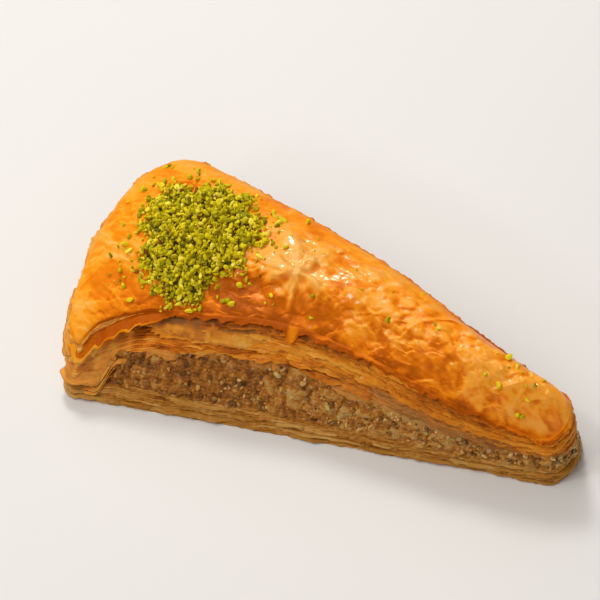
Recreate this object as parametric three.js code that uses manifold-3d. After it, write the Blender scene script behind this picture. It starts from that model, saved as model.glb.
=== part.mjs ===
// Carrot-slice baklava: one long wedge cut from a round bake, in millimetres, +Z up.
//
// The slice lies with its tip towards +X and its wide end towards -X, centred over the origin, with
// the underside on Z = 0. The side towards -Y is called near, the side towards +Y far. It has four
// pieces: a thin stack of pastry sheets underneath, the ground pistachio filling on it, the thick
// stack of flaky sheets with the browned crust on top, which folds down over the wide end, and the
// heap of crushed pistachio that is strewn on the crust.
import * as THREE from 'three';
import { mergeVertices } from 'three/addons/utils/BufferGeometryUtils.js';
import Module from 'manifold-3d';

// The round bake and the cuts through it.
const SLICES = 16;
const TIP_RADIUS = 50;
const WIDE_RADIUS = 208;
const CUT_LOSS = 3;
const NEAR_CORNER = { size: 5, power: 6 };
const FAR_CORNER = { size: 13, power: 3.5 };
const TIP_ROUNDING = 7;

// Heights of the layers.
const BASE_TOP = 6;
const FILLING_TOP_WIDE = 15;
const FILLING_TOP_MIDDLE = 20;
const FILLING_TOP_TIP = 11.5;
const FILLING_RISE = { start: 0.1, end: 0.3 };
const FILLING_TAPER = { start: 0.4, end: 0.93 };
const LAYER_GAP = 0.3;

// The folded-down pastry at the wide end, and how far the crust stands in from the cuts there.
const FOLD_THICKNESS = 8;
const FOLD_STEP = 0.4;
const CRUST_WIDE_INSET = { near: 0.8, far: 3.4 };
const CRUST_TIP_INSET = 1.2;

// Cross-sections of the crust, from the wide end to the tip: the distance from the bake's centre,
// how far each long edge of the crust stands in from its cut, how high it is, and how far the
// crust's crown rises over the line between the two edges.
const SECTIONS = [
  { radius: 203, nearInset: 3.5, nearHeight: 14.5, farInset: 2.0, farHeight: 31.0, crown: 7.5 },
  { radius: 194, nearInset: 14.5, nearHeight: 23.5, farInset: 1.2, farHeight: 33.0, crown: 7.5 },
  { radius: 180, nearInset: 19.0, nearHeight: 28, farInset: 0.8, farHeight: 34.5, crown: 6.8 },
  { radius: 160, nearInset: 19.0, nearHeight: 31, farInset: 1.5, farHeight: 37.0, crown: 6.2 },
  { radius: 137, nearInset: 19.5, nearHeight: 32, farInset: 2.0, farHeight: 38.5, crown: 5.6 },
  { radius: 111, nearInset: 14.0, nearHeight: 30, farInset: 2.2, farHeight: 37.0, crown: 6.2 },
  { radius: 84, nearInset: 7.0, nearHeight: 25, farInset: 4.4, farHeight: 33.0, crown: 6.6 },
  { radius: 61, nearInset: 5.2, nearHeight: 19, farInset: 4.6, farHeight: 28.5, crown: 6.2 },
  { radius: 52, nearInset: 5.4, nearHeight: 16, farInset: 4.0, farHeight: 25.0, crown: 5.0 },
];
const CROWN_PLACE = 0.56;
const CROWN_FULLNESS = 0.6;
const END_ROLL = 8;
const END_CROWN = 0.6;

// Swellings (+) and dents (-) of the crust: place, reach along and across the slice, and height.
const SWELLS = [
  { x: 0, y: 6, along: 17, across: 8, height: 1.8 },
  { x: 34, y: 2, along: 16, across: 5, height: 1.5 },
  { x: -8, y: -4, along: 4, across: 7, height: -2.2 },
  { x: -34, y: -9, along: 22, across: 6, height: -1.6 },
  { x: -22, y: 10, along: 9, across: 7, height: 0.9 },
  { x: 16, y: -3, along: 7, across: 4, height: -1.3 },
  { x: -62, y: 12, along: 8, across: 16, height: 0.8 },
  { x: 55, y: 0, along: 9, across: 4, height: 0.9 },
];
const WRINKLES = { depth: 0.6, along: 0.5, across: 1.2 };
const RELIEF_FADE = { side: 6, end: 12 };

// The flaky sheets that show at the cut sides. Each has an edge that stands out and a groove over it.
const UPPER_SHEETS = 4;
const UPPER_SHEET_DEPTH = 0.8;
const LOWER_SHEETS = 2;
const LOWER_SHEET_DEPTH = 0.5;
const LOWEST_SHEET = 0.8;
const SHEET_PROFILE = [
  { level: 0.25, reach: 0.6 },
  { level: 0.85, reach: -0.6 },
];
const SHEET_UNEVENNESS = 0.9;
const WIDE_END_CRUMPLE = 1.8;
const FILLING_BANDS = 4;
const FILLING_ROUGHNESS = 0.6;
const FILLING_COARSENESS = 2.3;
const LIP_OVERHANG = 1.0;
const LIP_THICKNESS = 1.5;
const LIP_WAVE = { height: 0.9, reach: 0.54, rate: 0.8 };
const UNDERCUT = { depth: 1.2, height: 1.2 };

// The pistachio heap and the stray grains round it.
const HEAP = { x: -45, y: 6.5, along: 18, across: 19.5, height: 4.6, turn: 0.35 };
const HEAP_RINGS = 5;
const HEAP_SPOKES = 20;
const HEAP_LUMPS = { height: 0.7, rate: 2.1 };
const HEAP_SINK = 2.5;
const CORE_SHARE = 0.75;
const CORE_REACH = 0.9;
const GRAIN_RADIUS = 1.3;
const GRAIN_SEED = 7;
const HEAP_GRAINS = { count: 96, reach: 0.97, lift: 0.35, smallest: 0.8, spread: 0.35 };
const STRAY_GRAINS = { count: 14, from: 1.22, to: 1.75, lift: 0.2, smallest: 0.6, spread: 0.3 };

// Steps of the faceted surfaces.
const STEPS_ALONG = 54;
const LOWER_STEPS_ALONG = 36;
const STEPS_ACROSS = 16;
const CUTTER_DEPTH = 20;

const HALF_ANGLE = Math.PI / SLICES;
const HALF_LENGTH = (WIDE_RADIUS - TIP_RADIUS) / 2;
const ORIGIN_RADIUS = (WIDE_RADIUS + TIP_RADIUS) / 2;
const WIDE_SAG = WIDE_RADIUS * (1 - Math.cos(HALF_ANGLE));

const mix = THREE.MathUtils.lerp;
const clamp01 = (value) => THREE.MathUtils.clamp(value, 0, 1);

// Half the width between the two cuts, at a place along the slice.
function halfWidth(x) {
  return (ORIGIN_RADIUS - x) * Math.tan(HALF_ANGLE) - CUT_LOSS / 2;
}

// A value of the cross-sections at a place along the slice, on a smooth curve through them.
function sectionValue(x, key) {
  const radius = ORIGIN_RADIUS - x;
  const last = SECTIONS.length - 1;
  let k = 0;
  while (k < last - 1 && radius < SECTIONS[k + 1].radius) k += 1;
  const at = (n) => SECTIONS[THREE.MathUtils.clamp(n, 0, last)][key];
  const part = (SECTIONS[k].radius - radius) / (SECTIONS[k].radius - SECTIONS[k + 1].radius);
  const f = clamp01(part);
  const slopeIn = (at(k + 1) - at(k - 1)) / 2;
  const slopeOut = (at(k + 2) - at(k)) / 2;
  const change = at(k + 1) - at(k);
  const bend = f * (1 - f) * (slopeIn * (1 - f) - slopeOut * f - change * (1 - 2 * f));
  return at(k) + change * f + bend;
}

// A smooth, uneven wave between -1 and 1 for the edges of sheets and for the crust.
function unevenWave(a, b, phase) {
  const slow = Math.sin(a * 0.21 + b * 0.13 + phase * 1.7);
  const middle = Math.sin(a * 0.53 - b * 0.37 + phase * 2.9);
  const fast = Math.sin(a * 1.07 + b * 0.71 + phase * 4.3);
  return slow * 0.45 + middle * 0.33 + fast * 0.22;
}

// Where a row runs along the slice: s is 0 at the wide end and 1 at the tip, t is 0 at the near
// side and 1 at the far side. Rows bend with the round outline of the two ends.
function placeAlong(s, t, wideInset, tipInset) {
  const w = Math.abs(2 * t - 1);
  const corner = t < 0.5 ? NEAR_CORNER : FAR_CORNER;
  const cut = corner.size * (1 - Math.sqrt(1 - w ** corner.power));
  const wide = -HALF_LENGTH + wideInset + WIDE_SAG * w * w + cut;
  const tip = HALF_LENGTH - tipInset - TIP_ROUNDING * (1 - Math.sqrt(1 - w * w));
  return mix(wide, tip, s);
}

// A point of the underside's outline, or between its sides.
function basePoint(s, t) {
  const near = -halfWidth(placeAlong(s, 0, 0, 0));
  const far = halfWidth(placeAlong(s, 1, 0, 0));
  return new THREE.Vector3(placeAlong(s, t, 0, 0), mix(near, far, t), 0);
}

// A point of the crust, without its wrinkles; at t = 0 or 1 and at s = 0 or 1 it is on the edge.
function crustPoint(s, t) {
  const wideInset = (column) => mix(CRUST_WIDE_INSET.near, CRUST_WIDE_INSET.far, column);
  const along = (column) => placeAlong(s, column, wideInset(column), CRUST_TIP_INSET);
  const nearX = along(0);
  const farX = along(1);
  const near = -halfWidth(nearX) + sectionValue(nearX, 'nearInset');
  const far = halfWidth(farX) - sectionValue(farX, 'farInset');
  const edge = mix(sectionValue(nearX, 'nearHeight'), sectionValue(farX, 'farHeight'), t);
  const crown = mix(sectionValue(nearX, 'crown'), sectionValue(farX, 'crown'), t);
  const skew = Math.log(0.5) / Math.log(CROWN_PLACE);
  const arch = Math.sin(Math.PI * t ** skew) ** CROWN_FULLNESS;
  return new THREE.Vector3(along(t), mix(near, far, t), edge + crown * arch * endRise(s));
}

// How much of the crown is reached near the two ends, where the crust rolls over.
function endRise(s) {
  const fromEnd = Math.min(s, 1 - s) * 2 * HALF_LENGTH;
  return mix(END_CROWN, 1, Math.sqrt(clamp01(fromEnd / END_ROLL)));
}

// Swellings, dents and long wrinkles, which fade out at the crust's edge.
function crustRelief(point, s, t) {
  const fromSide = clamp01(RELIEF_FADE.side * Math.min(t, 1 - t));
  const fromEnd = clamp01(RELIEF_FADE.end * Math.min(s, 1 - s));
  let height = WRINKLES.depth * unevenWave(point.x * WRINKLES.along, point.y * WRINKLES.across, 1);
  for (const swell of SWELLS) {
    const along = (point.x - swell.x) / swell.along;
    const across = (point.y - swell.y) / swell.across;
    height += swell.height * Math.exp(-along * along - across * across);
  }
  return height * fromSide * fromEnd;
}

function fillingTop(s) {
  const rise = THREE.MathUtils.smoothstep(s, FILLING_RISE.start, FILLING_RISE.end);
  const taper = THREE.MathUtils.smoothstep(s, FILLING_TAPER.start, FILLING_TAPER.end);
  return mix(mix(FILLING_TOP_WIDE, FILLING_TOP_MIDDLE, rise), FILLING_TOP_TIP, taper);
}

// A point of the cut sides at a height, on the straight line from the underside to the crust.
function sidePoint(s, t, height) {
  const top = crustPoint(s, t);
  const point = basePoint(s, t).lerp(top, height / top.z);
  point.z = height;
  return point;
}

// Rows along and columns across a piece. Its border is one loop: near side, tip, far side, wide end.
function makeGrid(stations) {
  const columns = [];
  for (let j = 0; j <= STEPS_ACROSS; j += 1) {
    const even = j / STEPS_ACROSS;
    const crowded = 0.5 - 0.5 * Math.cos(Math.PI * even);
    columns.push((even + crowded) / 2);
  }
  const rows = stations.length - 1;
  const border = [];
  for (let i = 0; i < rows; i += 1) border.push([i, 0]);
  for (let j = 0; j < STEPS_ACROSS; j += 1) border.push([rows, j]);
  for (let i = rows; i > 0; i -= 1) border.push([i, STEPS_ACROSS]);
  for (let j = STEPS_ACROSS; j > 0; j -= 1) border.push([0, j]);
  return { stations, columns, rows, border };
}

// The border as a loop of points, each moved outwards, level with the ground, by its own offset.
function borderLoop(grid, pointAt, offsetAt) {
  const points = grid.border.map(([i, j]) => pointAt(grid.stations[i], grid.columns[j]));
  const count = points.length;
  return points.map((point, k) => {
    const along = points[(k + 1) % count].clone().sub(points[(k + count - 1) % count]);
    const outward = new THREE.Vector3(along.y, -along.x, 0).normalize();
    return point.clone().addScaledVector(outward, offsetAt(point, k));
  });
}

// Triangles between two rows of points that run the same way, with any number of points each.
function stitch(left, right) {
  const triangles = [];
  let p = 0;
  let q = 0;
  while (p < left.length - 1 || q < right.length - 1) {
    const nextLeft = (p + 1) / (left.length - 1);
    const nextRight = (q + 1) / (right.length - 1);
    if (q === right.length - 1 || (p < left.length - 1 && nextLeft <= nextRight)) {
      triangles.push([left[p], right[q], left[p + 1]]);
      p += 1;
    } else {
      triangles.push([left[p], right[q], right[q + 1]]);
      q += 1;
    }
  }
  return triangles;
}

// A closed piece from loops stacked upwards, with a cap under the first and over the last. A cap
// has a point in every column on the rows that isFull picks, and only its two ends on the others.
function stackedGeometry(grid, loops, floorCap, roofCap) {
  const points = loops.flat();
  const ring = grid.border.length;
  const triangles = [];
  for (let k = 0; k < loops.length - 1; k += 1) {
    for (let n = 0; n < ring; n += 1) {
      const next = (n + 1) % ring;
      const low = k * ring;
      const high = low + ring;
      triangles.push([low + n, low + next, high + next], [low + n, high + next, high + n]);
    }
  }
  const addCap = (cap, firstIndex, flip) => {
    const onBorder = new Map(grid.border.map(([i, j], n) => [i * (STEPS_ACROSS + 1) + j, n]));
    const rowIndices = (i) => {
      const indices = [];
      for (let j = 0; j <= STEPS_ACROSS; j += 1) {
        const n = onBorder.get(i * (STEPS_ACROSS + 1) + j);
        if (n !== undefined) {
          indices.push(firstIndex + n);
        } else if (cap.isFull(i)) {
          indices.push(points.length);
          points.push(cap.pointAt(grid.stations[i], grid.columns[j]));
        }
      }
      return indices;
    };
    let left = rowIndices(0);
    for (let i = 1; i <= grid.rows; i += 1) {
      const right = rowIndices(i);
      for (const [a, b, c] of stitch(left, right)) triangles.push(flip ? [a, c, b] : [a, b, c]);
      left = right;
    }
  };
  addCap(floorCap, 0, true);
  addCap(roofCap, (loops.length - 1) * ring, false);
  const geometry = new THREE.BufferGeometry().setFromPoints(points);
  geometry.setIndex(triangles.flat());
  return geometry;
}

// Loops for a stack of thin sheets: each sheet's edge stands out, with a groove over it.
function sheetLoops(grid, sheets, depth, heightAt) {
  const loops = [];
  for (let sheet = 0; sheet < sheets; sheet += 1) {
    for (const profile of SHEET_PROFILE) {
      const level = (sheet + profile.level) / sheets;
      const offset = (point, k) => {
        const crumple = grid.border[k][0] === 0 ? WIDE_END_CRUMPLE : 1;
        const uneven = SHEET_UNEVENNESS * unevenWave(point.x, point.y, sheet + profile.level);
        return depth * (profile.reach + uneven * crumple);
      };
      loops.push(borderLoop(grid, (s, t) => sidePoint(s, t, heightAt(s, t, level)), offset));
    }
  }
  return loops;
}

// Evenly spaced stations from one place along the slice to another.
function stationsBetween(from, to, steps) {
  return Array.from({ length: steps + 1 }, (_, i) => mix(from, to, i / steps));
}

const noOffset = () => 0;
const span = placeAlong(1, 0, 0, 0) - placeAlong(0, 0, 0, 0);
const foldEnd = FOLD_THICKNESS / span;
const foldStep = FOLD_STEP / span;
const foldRows = 3;

// The thin stack of sheets underneath, flat on its underside.
function bottomPastry() {
  const grid = makeGrid(stationsBetween(0, 1, LOWER_STEPS_ALONG));
  const heightAt = (s, t, level) => mix(LOWEST_SHEET, BASE_TOP, level);
  const loops = [
    borderLoop(grid, (s, t) => sidePoint(s, t, 0), () => -LOWER_SHEET_DEPTH),
    ...sheetLoops(grid, LOWER_SHEETS, LOWER_SHEET_DEPTH, heightAt),
    borderLoop(grid, (s, t) => sidePoint(s, t, BASE_TOP), noOffset),
  ];
  const endsOnly = { isFull: () => false };
  return stackedGeometry(grid, loops, endsOnly, endsOnly);
}

// The ground pistachio filling, coarse where it was cut, ending against the folded pastry.
function pistachioFilling() {
  const start = foldEnd + foldStep + LAYER_GAP / span;
  const grid = makeGrid(stationsBetween(start, 1, STEPS_ALONG));
  const floor = BASE_TOP + LAYER_GAP;
  const loops = [];
  for (let band = 0; band <= FILLING_BANDS; band += 1) {
    const heightAt = (s) => mix(floor, fillingTop(s), band / FILLING_BANDS);
    const inside = band === 0 || band === FILLING_BANDS;
    const offset = (point, k) => {
      if (inside || grid.border[k][0] === 0) return 0;
      const a = point.x * FILLING_COARSENESS;
      const b = point.y * FILLING_COARSENESS;
      return FILLING_ROUGHNESS * unevenWave(a, b, band * 5);
    };
    loops.push(borderLoop(grid, (s, t) => sidePoint(s, t, heightAt(s)), offset));
  }
  const endsOnly = { isFull: () => false };
  return stackedGeometry(grid, loops, endsOnly, endsOnly);
}

function topGrid() {
  const inFold = stationsBetween(0, foldEnd, foldRows);
  const overFilling = stationsBetween(foldEnd + foldStep, 1, STEPS_ALONG - foldRows - 1);
  return makeGrid([...inFold, ...overFilling]);
}

const isFolded = (s) => s < foldEnd + foldStep / 2;
const upperFloor = (s) => (isFolded(s) ? BASE_TOP : fillingTop(s)) + LAYER_GAP;

// The crust with its relief, raised by a clearance.
function crustSurface(s, t, clearance) {
  const point = crustPoint(s, t);
  point.z += crustRelief(point, s, t) + clearance;
  return point;
}

// The crust's edge: an overhanging, wavy lip.
function crustLip(grid, drop, clearance) {
  const offset = (point) => LIP_OVERHANG + LIP_WAVE.reach * unevenWave(point.x, point.y, 2);
  const lipPoint = (s, t) => {
    const point = crustPoint(s, t);
    const wave = unevenWave(point.x * LIP_WAVE.rate, point.y * LIP_WAVE.rate, 5);
    point.z += LIP_WAVE.height * wave - drop + clearance;
    return point;
  };
  return borderLoop(grid, lipPoint, offset);
}

// The thick stack of flaky sheets with the crust, folded down over the wide end.
function topPastry() {
  const grid = topGrid();
  const underLip = (s, t) => crustPoint(s, t).z - LIP_THICKNESS;
  const heightAt = (s, t, level) => mix(upperFloor(s), underLip(s, t) - UNDERCUT.height, level);
  const undercutPoint = (s, t) => sidePoint(s, t, underLip(s, t) - UNDERCUT.height / 2);
  const loops = [
    borderLoop(grid, (s, t) => sidePoint(s, t, upperFloor(s)), noOffset),
    ...sheetLoops(grid, UPPER_SHEETS, UPPER_SHEET_DEPTH, heightAt),
    borderLoop(grid, undercutPoint, () => -UNDERCUT.depth),
    crustLip(grid, LIP_THICKNESS, 0),
    crustLip(grid, 0, 0),
  ];
  const floorCap = {
    isFull: (i) => i <= foldRows + 1,
    pointAt: (s, t) => sidePoint(s, t, upperFloor(s)),
  };
  const roofCap = { isFull: () => true, pointAt: (s, t) => crustSurface(s, t, 0) };
  return stackedGeometry(grid, loops, floorCap, roofCap);
}

// A block whose top is the crust raised by the gap, to cut the heap's underside with.
function crustCutter() {
  const grid = topGrid();
  const sunken = (s, t) => crustPoint(s, t).setZ(-CUTTER_DEPTH);
  const loops = [borderLoop(grid, sunken, () => LIP_OVERHANG), crustLip(grid, 0, LAYER_GAP)];
  const roofCap = { isFull: () => true, pointAt: (s, t) => crustSurface(s, t, LAYER_GAP) };
  return stackedGeometry(grid, loops, { isFull: () => false }, roofCap);
}

// A repeatable source of numbers between 0 and 1.
function makeRandom(seed) {
  const modulus = 2147483647;
  let state = seed;
  return () => {
    state = (state * 48271) % modulus;
    return state / modulus;
  };
}

// The crust's height over a place on the ground, found on its surface.
function crustHeight(x, y) {
  let s = 0.5;
  let t = 0.5;
  const step = 0.01;
  const rounds = 12;
  for (let n = 0; n < rounds; n += 1) {
    const here = crustPoint(s, t);
    const perS = (crustPoint(s + step, t).x - here.x) / step;
    const perT = (crustPoint(s, t + step).y - here.y) / step;
    s = THREE.MathUtils.clamp(s + (x - here.x) / perS, step, 1 - 2 * step);
    t = THREE.MathUtils.clamp(t + (y - here.y) / perT, step, 1 - 2 * step);
  }
  return crustSurface(s, t, 0).z;
}

// How far the heap reaches from its middle in a direction, as a share of its size.
function heapLobes(angle) {
  return 1 + 0.11 * Math.sin(3 * angle + 0.6) + 0.08 * Math.sin(5 * angle + 2.1);
}

// A place in the heap: share is 0 in its middle and 1 at its rim.
function heapPlace(share, angle) {
  const reach = share * heapLobes(angle);
  const along = HEAP.along * reach * Math.cos(angle);
  const across = HEAP.across * reach * Math.sin(angle);
  const x = HEAP.x + along * Math.cos(HEAP.turn) - across * Math.sin(HEAP.turn);
  const y = HEAP.y + along * Math.sin(HEAP.turn) + across * Math.cos(HEAP.turn);
  return new THREE.Vector3(x, y, crustHeight(x, y));
}

// The heap's depth over the crust, full in the middle and low at the rim.
const heapDepth = (share) => HEAP.height * (1 - share * share) ** 0.7;

// The heap's core: a low, lobed mound that reaches a little into the crust.
function heapCore() {
  const points = [];
  for (const under of [true, false]) {
    for (let ring = 1; ring <= HEAP_RINGS; ring += 1) {
      for (let spoke = 0; spoke < HEAP_SPOKES; spoke += 1) {
        const share = (ring / HEAP_RINGS) * CORE_REACH;
        const point = heapPlace(share, (spoke / HEAP_SPOKES) * 2 * Math.PI);
        const wave = unevenWave(point.x * HEAP_LUMPS.rate, point.y * HEAP_LUMPS.rate, 3);
        const rise = heapDepth(share) * CORE_SHARE + HEAP_LUMPS.height * wave;
        point.z += under ? -HEAP_SINK : rise;
        points.push(point);
      }
    }
  }
  const middle = heapPlace(0, 0);
  const underMiddle = points.push(middle.clone().setZ(middle.z - HEAP_SINK)) - 1;
  const topMiddle = points.push(middle.clone().setZ(middle.z + heapDepth(0) * CORE_SHARE)) - 1;
  const at = (layer, ring, spoke) => {
    return (layer * HEAP_RINGS + ring - 1) * HEAP_SPOKES + (spoke % HEAP_SPOKES);
  };
  const triangles = [];
  for (let n = 0; n < HEAP_SPOKES; n += 1) {
    triangles.push([underMiddle, at(0, 1, n + 1), at(0, 1, n)], [topMiddle, at(1, 1, n), at(1, 1, n + 1)]);
    for (let ring = 1; ring < HEAP_RINGS; ring += 1) {
      const under = [at(0, ring, n), at(0, ring, n + 1), at(0, ring + 1, n + 1), at(0, ring + 1, n)];
      const top = [at(1, ring, n), at(1, ring + 1, n), at(1, ring + 1, n + 1), at(1, ring, n + 1)];
      for (const [a, b, c, d] of [under, top]) triangles.push([a, b, c], [a, c, d]);
    }
    const rim = HEAP_RINGS;
    triangles.push([at(0, rim, n), at(0, rim, n + 1), at(1, rim, n + 1)]);
    triangles.push([at(0, rim, n), at(1, rim, n + 1), at(1, rim, n)]);
  }
  const geometry = new THREE.BufferGeometry().setFromPoints(points);
  geometry.setIndex(triangles.flat());
  return geometry;
}

// One crushed pistachio grain: an uneven, turned icosahedron.
function grainGeometry(random, radius, place) {
  const geometry = new THREE.IcosahedronGeometry(radius, 0);
  geometry.deleteAttribute('normal');
  geometry.deleteAttribute('uv');
  const size = new THREE.Vector3(1, 0.7 + 0.3 * random(), 0.6 + 0.25 * random());
  const turn = new THREE.Euler(Math.PI * random(), Math.PI * random(), 2 * Math.PI * random());
  const matrix = new THREE.Matrix4();
  matrix.compose(place, new THREE.Quaternion().setFromEuler(turn), size);
  return mergeVertices(geometry.applyMatrix4(matrix), 1e-4);
}

const GOLDEN_ANGLE = Math.PI * (3 - Math.sqrt(5));

// Grains spread evenly over the heap.
function heapGrains(random) {
  const grains = [];
  for (let n = 0; n < HEAP_GRAINS.count; n += 1) {
    const share = Math.sqrt((n + 0.5) / HEAP_GRAINS.count);
    const place = heapPlace(share * HEAP_GRAINS.reach, n * GOLDEN_ANGLE);
    place.z += heapDepth(share) * CORE_SHARE + HEAP_GRAINS.lift;
    const size = HEAP_GRAINS.smallest + HEAP_GRAINS.spread * random();
    grains.push(grainGeometry(random, GRAIN_RADIUS * size, place));
  }
  return grains;
}

// Stray grains on the crust outside the heap.
function strayGrains(random) {
  const grains = [];
  for (let n = 0; n < STRAY_GRAINS.count; n += 1) {
    const share = mix(STRAY_GRAINS.from, STRAY_GRAINS.to, random());
    const place = heapPlace(share, n * GOLDEN_ANGLE);
    place.z += STRAY_GRAINS.lift;
    const size = STRAY_GRAINS.smallest + STRAY_GRAINS.spread * random();
    grains.push(grainGeometry(random, GRAIN_RADIUS * size, place));
  }
  return grains;
}

const wasm = await Module();
wasm.setup();

function toSolid(geometry) {
  const vertProperties = new Float32Array(geometry.getAttribute('position').array);
  const triVerts = new Uint32Array(geometry.index.array);
  return new wasm.Manifold(new wasm.Mesh({ numProp: 3, vertProperties, triVerts }));
}

function toGeometry(solid) {
  const mesh = solid.getMesh();
  const geometry = new THREE.BufferGeometry();
  geometry.setAttribute('position', new THREE.BufferAttribute(mesh.vertProperties, 3));
  geometry.setIndex(new THREE.BufferAttribute(mesh.triVerts, 1));
  return geometry;
}

// The largest body of a solid, without loose scraps.
function mainBody(solid) {
  const bodies = solid.decompose();
  return bodies.reduce((best, body) => (body.volume() > best.volume() ? body : best));
}

const fuse = (solid, geometries) => geometries.reduce((sum, one) => sum.add(toSolid(one)), solid);

function addMesh(name, geometry, color, roughness) {
  const material = new THREE.MeshStandardMaterial({ color, roughness, metalness: 0 });
  geometry.computeVertexNormals();
  const mesh = new THREE.Mesh(geometry, material);
  mesh.name = name;
  group.add(mesh);
}

// The far corner is rounder than the near one, so the outline is moved to be centred over the origin.
const nearReach = halfWidth(placeAlong(0, 0, 0, 0));
const farReach = halfWidth(placeAlong(0, 1, 0, 0));
const group = new THREE.Group();
group.position.y = (nearReach - farReach) / 2;
const random = makeRandom(GRAIN_SEED);
const heap = fuse(toSolid(heapCore()), heapGrains(random)).subtract(toSolid(crustCutter()));
const crustWithGrains = fuse(toSolid(topPastry()), strayGrains(random));

addMesh('bottom_pastry', bottomPastry(), 0xb98a4e, 0.45);
addMesh('pistachio_filling', pistachioFilling(), 0x7d6a3c, 0.7);
addMesh('top_pastry', toGeometry(mainBody(crustWithGrains)), 0xe08a2c, 0.3);
addMesh('pistachio_topping', toGeometry(mainBody(heap)), 0x93a51f, 0.8);

export default group;
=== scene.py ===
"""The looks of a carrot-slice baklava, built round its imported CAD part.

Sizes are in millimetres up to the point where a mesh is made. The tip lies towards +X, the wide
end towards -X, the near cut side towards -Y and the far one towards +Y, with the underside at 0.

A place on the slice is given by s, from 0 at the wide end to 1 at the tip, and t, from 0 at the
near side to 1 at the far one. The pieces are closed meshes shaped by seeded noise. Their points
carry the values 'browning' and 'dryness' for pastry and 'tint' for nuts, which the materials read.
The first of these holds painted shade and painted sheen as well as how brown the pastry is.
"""

import itertools
import math

import bmesh
import bpy
import numpy as np
from mathutils import Matrix, Vector


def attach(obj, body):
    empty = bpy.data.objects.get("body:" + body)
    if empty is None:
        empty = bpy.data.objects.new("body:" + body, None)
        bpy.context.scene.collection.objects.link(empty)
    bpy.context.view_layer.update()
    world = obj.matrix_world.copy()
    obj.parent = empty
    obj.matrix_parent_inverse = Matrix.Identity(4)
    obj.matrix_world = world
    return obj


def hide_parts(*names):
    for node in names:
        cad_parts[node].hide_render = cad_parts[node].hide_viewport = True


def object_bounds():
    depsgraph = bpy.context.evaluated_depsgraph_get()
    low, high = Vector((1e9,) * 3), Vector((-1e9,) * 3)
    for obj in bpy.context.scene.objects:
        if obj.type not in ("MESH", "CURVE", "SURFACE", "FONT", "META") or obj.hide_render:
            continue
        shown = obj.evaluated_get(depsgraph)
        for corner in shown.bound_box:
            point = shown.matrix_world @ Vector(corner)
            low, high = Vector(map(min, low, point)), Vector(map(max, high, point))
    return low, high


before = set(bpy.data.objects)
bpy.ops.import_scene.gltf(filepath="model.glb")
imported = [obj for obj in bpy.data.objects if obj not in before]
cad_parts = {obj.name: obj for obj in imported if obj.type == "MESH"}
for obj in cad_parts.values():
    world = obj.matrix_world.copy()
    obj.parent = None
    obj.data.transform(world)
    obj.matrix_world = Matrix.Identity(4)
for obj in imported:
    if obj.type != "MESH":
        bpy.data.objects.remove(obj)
cad_box = [list(corner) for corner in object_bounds()]

MM = 0.001

# The slice's form, from the same sizes as the CAD part.
SLICES = 16
TIP_RADIUS = 50
WIDE_RADIUS = 208
CUT_LOSS = 3
NEAR_CORNER = {"size": 5, "power": 6}
FAR_CORNER = {"size": 13, "power": 3.5}
TIP_ROUNDING = 7
BASE_TOP = 6
FILLING_TOP = {"wide": 15, "middle": 20, "tip": 11.5}
FILLING_RISE = (0.1, 0.3)
FILLING_TAPER = (0.4, 0.93)
LAYER_GAP = 0.3
FOLD_THICKNESS = 8
FOLD_STEP = 0.4
CRUST_WIDE_INSET = {"near": 0.8, "far": 3.4}
CRUST_TIP_INSET = 1.2
SECTION_RADII = [203, 194, 180, 160, 137, 111, 84, 61, 52]
SECTIONS = {
    "near_inset": [3.5, 14.5, 19.0, 19.0, 19.5, 14.0, 7.0, 5.2, 5.4],
    "near_height": [14.5, 23.5, 28.0, 31.0, 32.0, 30.0, 25.0, 19.0, 16.0],
    "far_inset": [2.0, 1.2, 0.8, 1.5, 2.0, 2.2, 4.4, 4.6, 4.0],
    "far_height": [31.0, 33.0, 34.5, 37.0, 38.5, 37.0, 33.0, 28.5, 25.0],
    "crown": [7.5, 7.5, 6.8, 6.2, 5.6, 6.2, 6.6, 6.2, 5.0],
}
CROWN_PLACE = 0.56
CROWN_FULLNESS = 0.6
END_ROLL = 8
END_CROWN = 0.6
# Swellings and dents of the crust: x, y, reach along, reach across, height.
SWELLS = [
    (0, 6, 17, 8, 1.8),
    (34, 2, 16, 5, 1.5),
    (-8, -4, 4, 7, -2.2),
    (-34, -9, 22, 6, -1.6),
    (-22, 10, 9, 7, 0.9),
    (16, -3, 7, 4, -1.3),
    (-62, 12, 8, 16, 0.8),
    (55, 0, 9, 4, 0.9),
]
WRINKLES = {"depth": 0.6, "along": 0.5, "across": 1.2}
RELIEF_FADE = {"side": 6, "end": 12}
HEAP = {"x": -45, "y": 6.5, "along": 18, "across": 19.5, "turn": 0.35, "proud": 0.7}

# The star of creases, where the top sheets were pinched together: its place, arms and height.
STAR = {"x": -11, "y": 4.9, "arms": 10, "shortest": 9, "longest": 18, "height": 1.8}
# Small bubbles in the glazed sheets.
BLISTERS = 190
BLISTER_RADIUS = (0.7, 2.6)
# Rounded swellings that catch the light: x, y, radius, height.
GLINTS = [
    (-16.3, 12.8, 3.8, 0.8),
    (-13.5, 8.5, 2.6, 1.0),
    (-5, 10.5, 2.0, 0.7),
    (8.8, 14.5, 2.4, 0.5),
    (8.8, 4.2, 3.2, 0.7),
    (14.5, 4.8, 2.2, 0.6),
    (18.6, 5.3, 2.4, 0.6),
    (24, 9, 2.2, 0.4),
    (32, -1.6, 2.4, 0.5),
    (38, 3, 2.0, 0.5),
    (46, 1, 2.4, 0.4),
    (55, 1.5, 2.0, 0.4),
    (61, -3.6, 2.2, 0.4),
    (66, 1.5, 2.0, 0.5),
    (70.5, -2.5, 1.7, 0.45),
]
# Torn top sheets: how steeply they end; how fine their outlines are along and across, the level of
# noise at which they end, and their thickness.
TORN_STEP = 0.035
TORN_SHEETS = [
    (0.040, 0.090, 0.02, 0.32),
    (0.055, 0.110, -0.18, 0.26),
    (0.075, 0.130, 0.20, 0.22),
    (0.110, 0.150, 0.05, 0.15),
]
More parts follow.
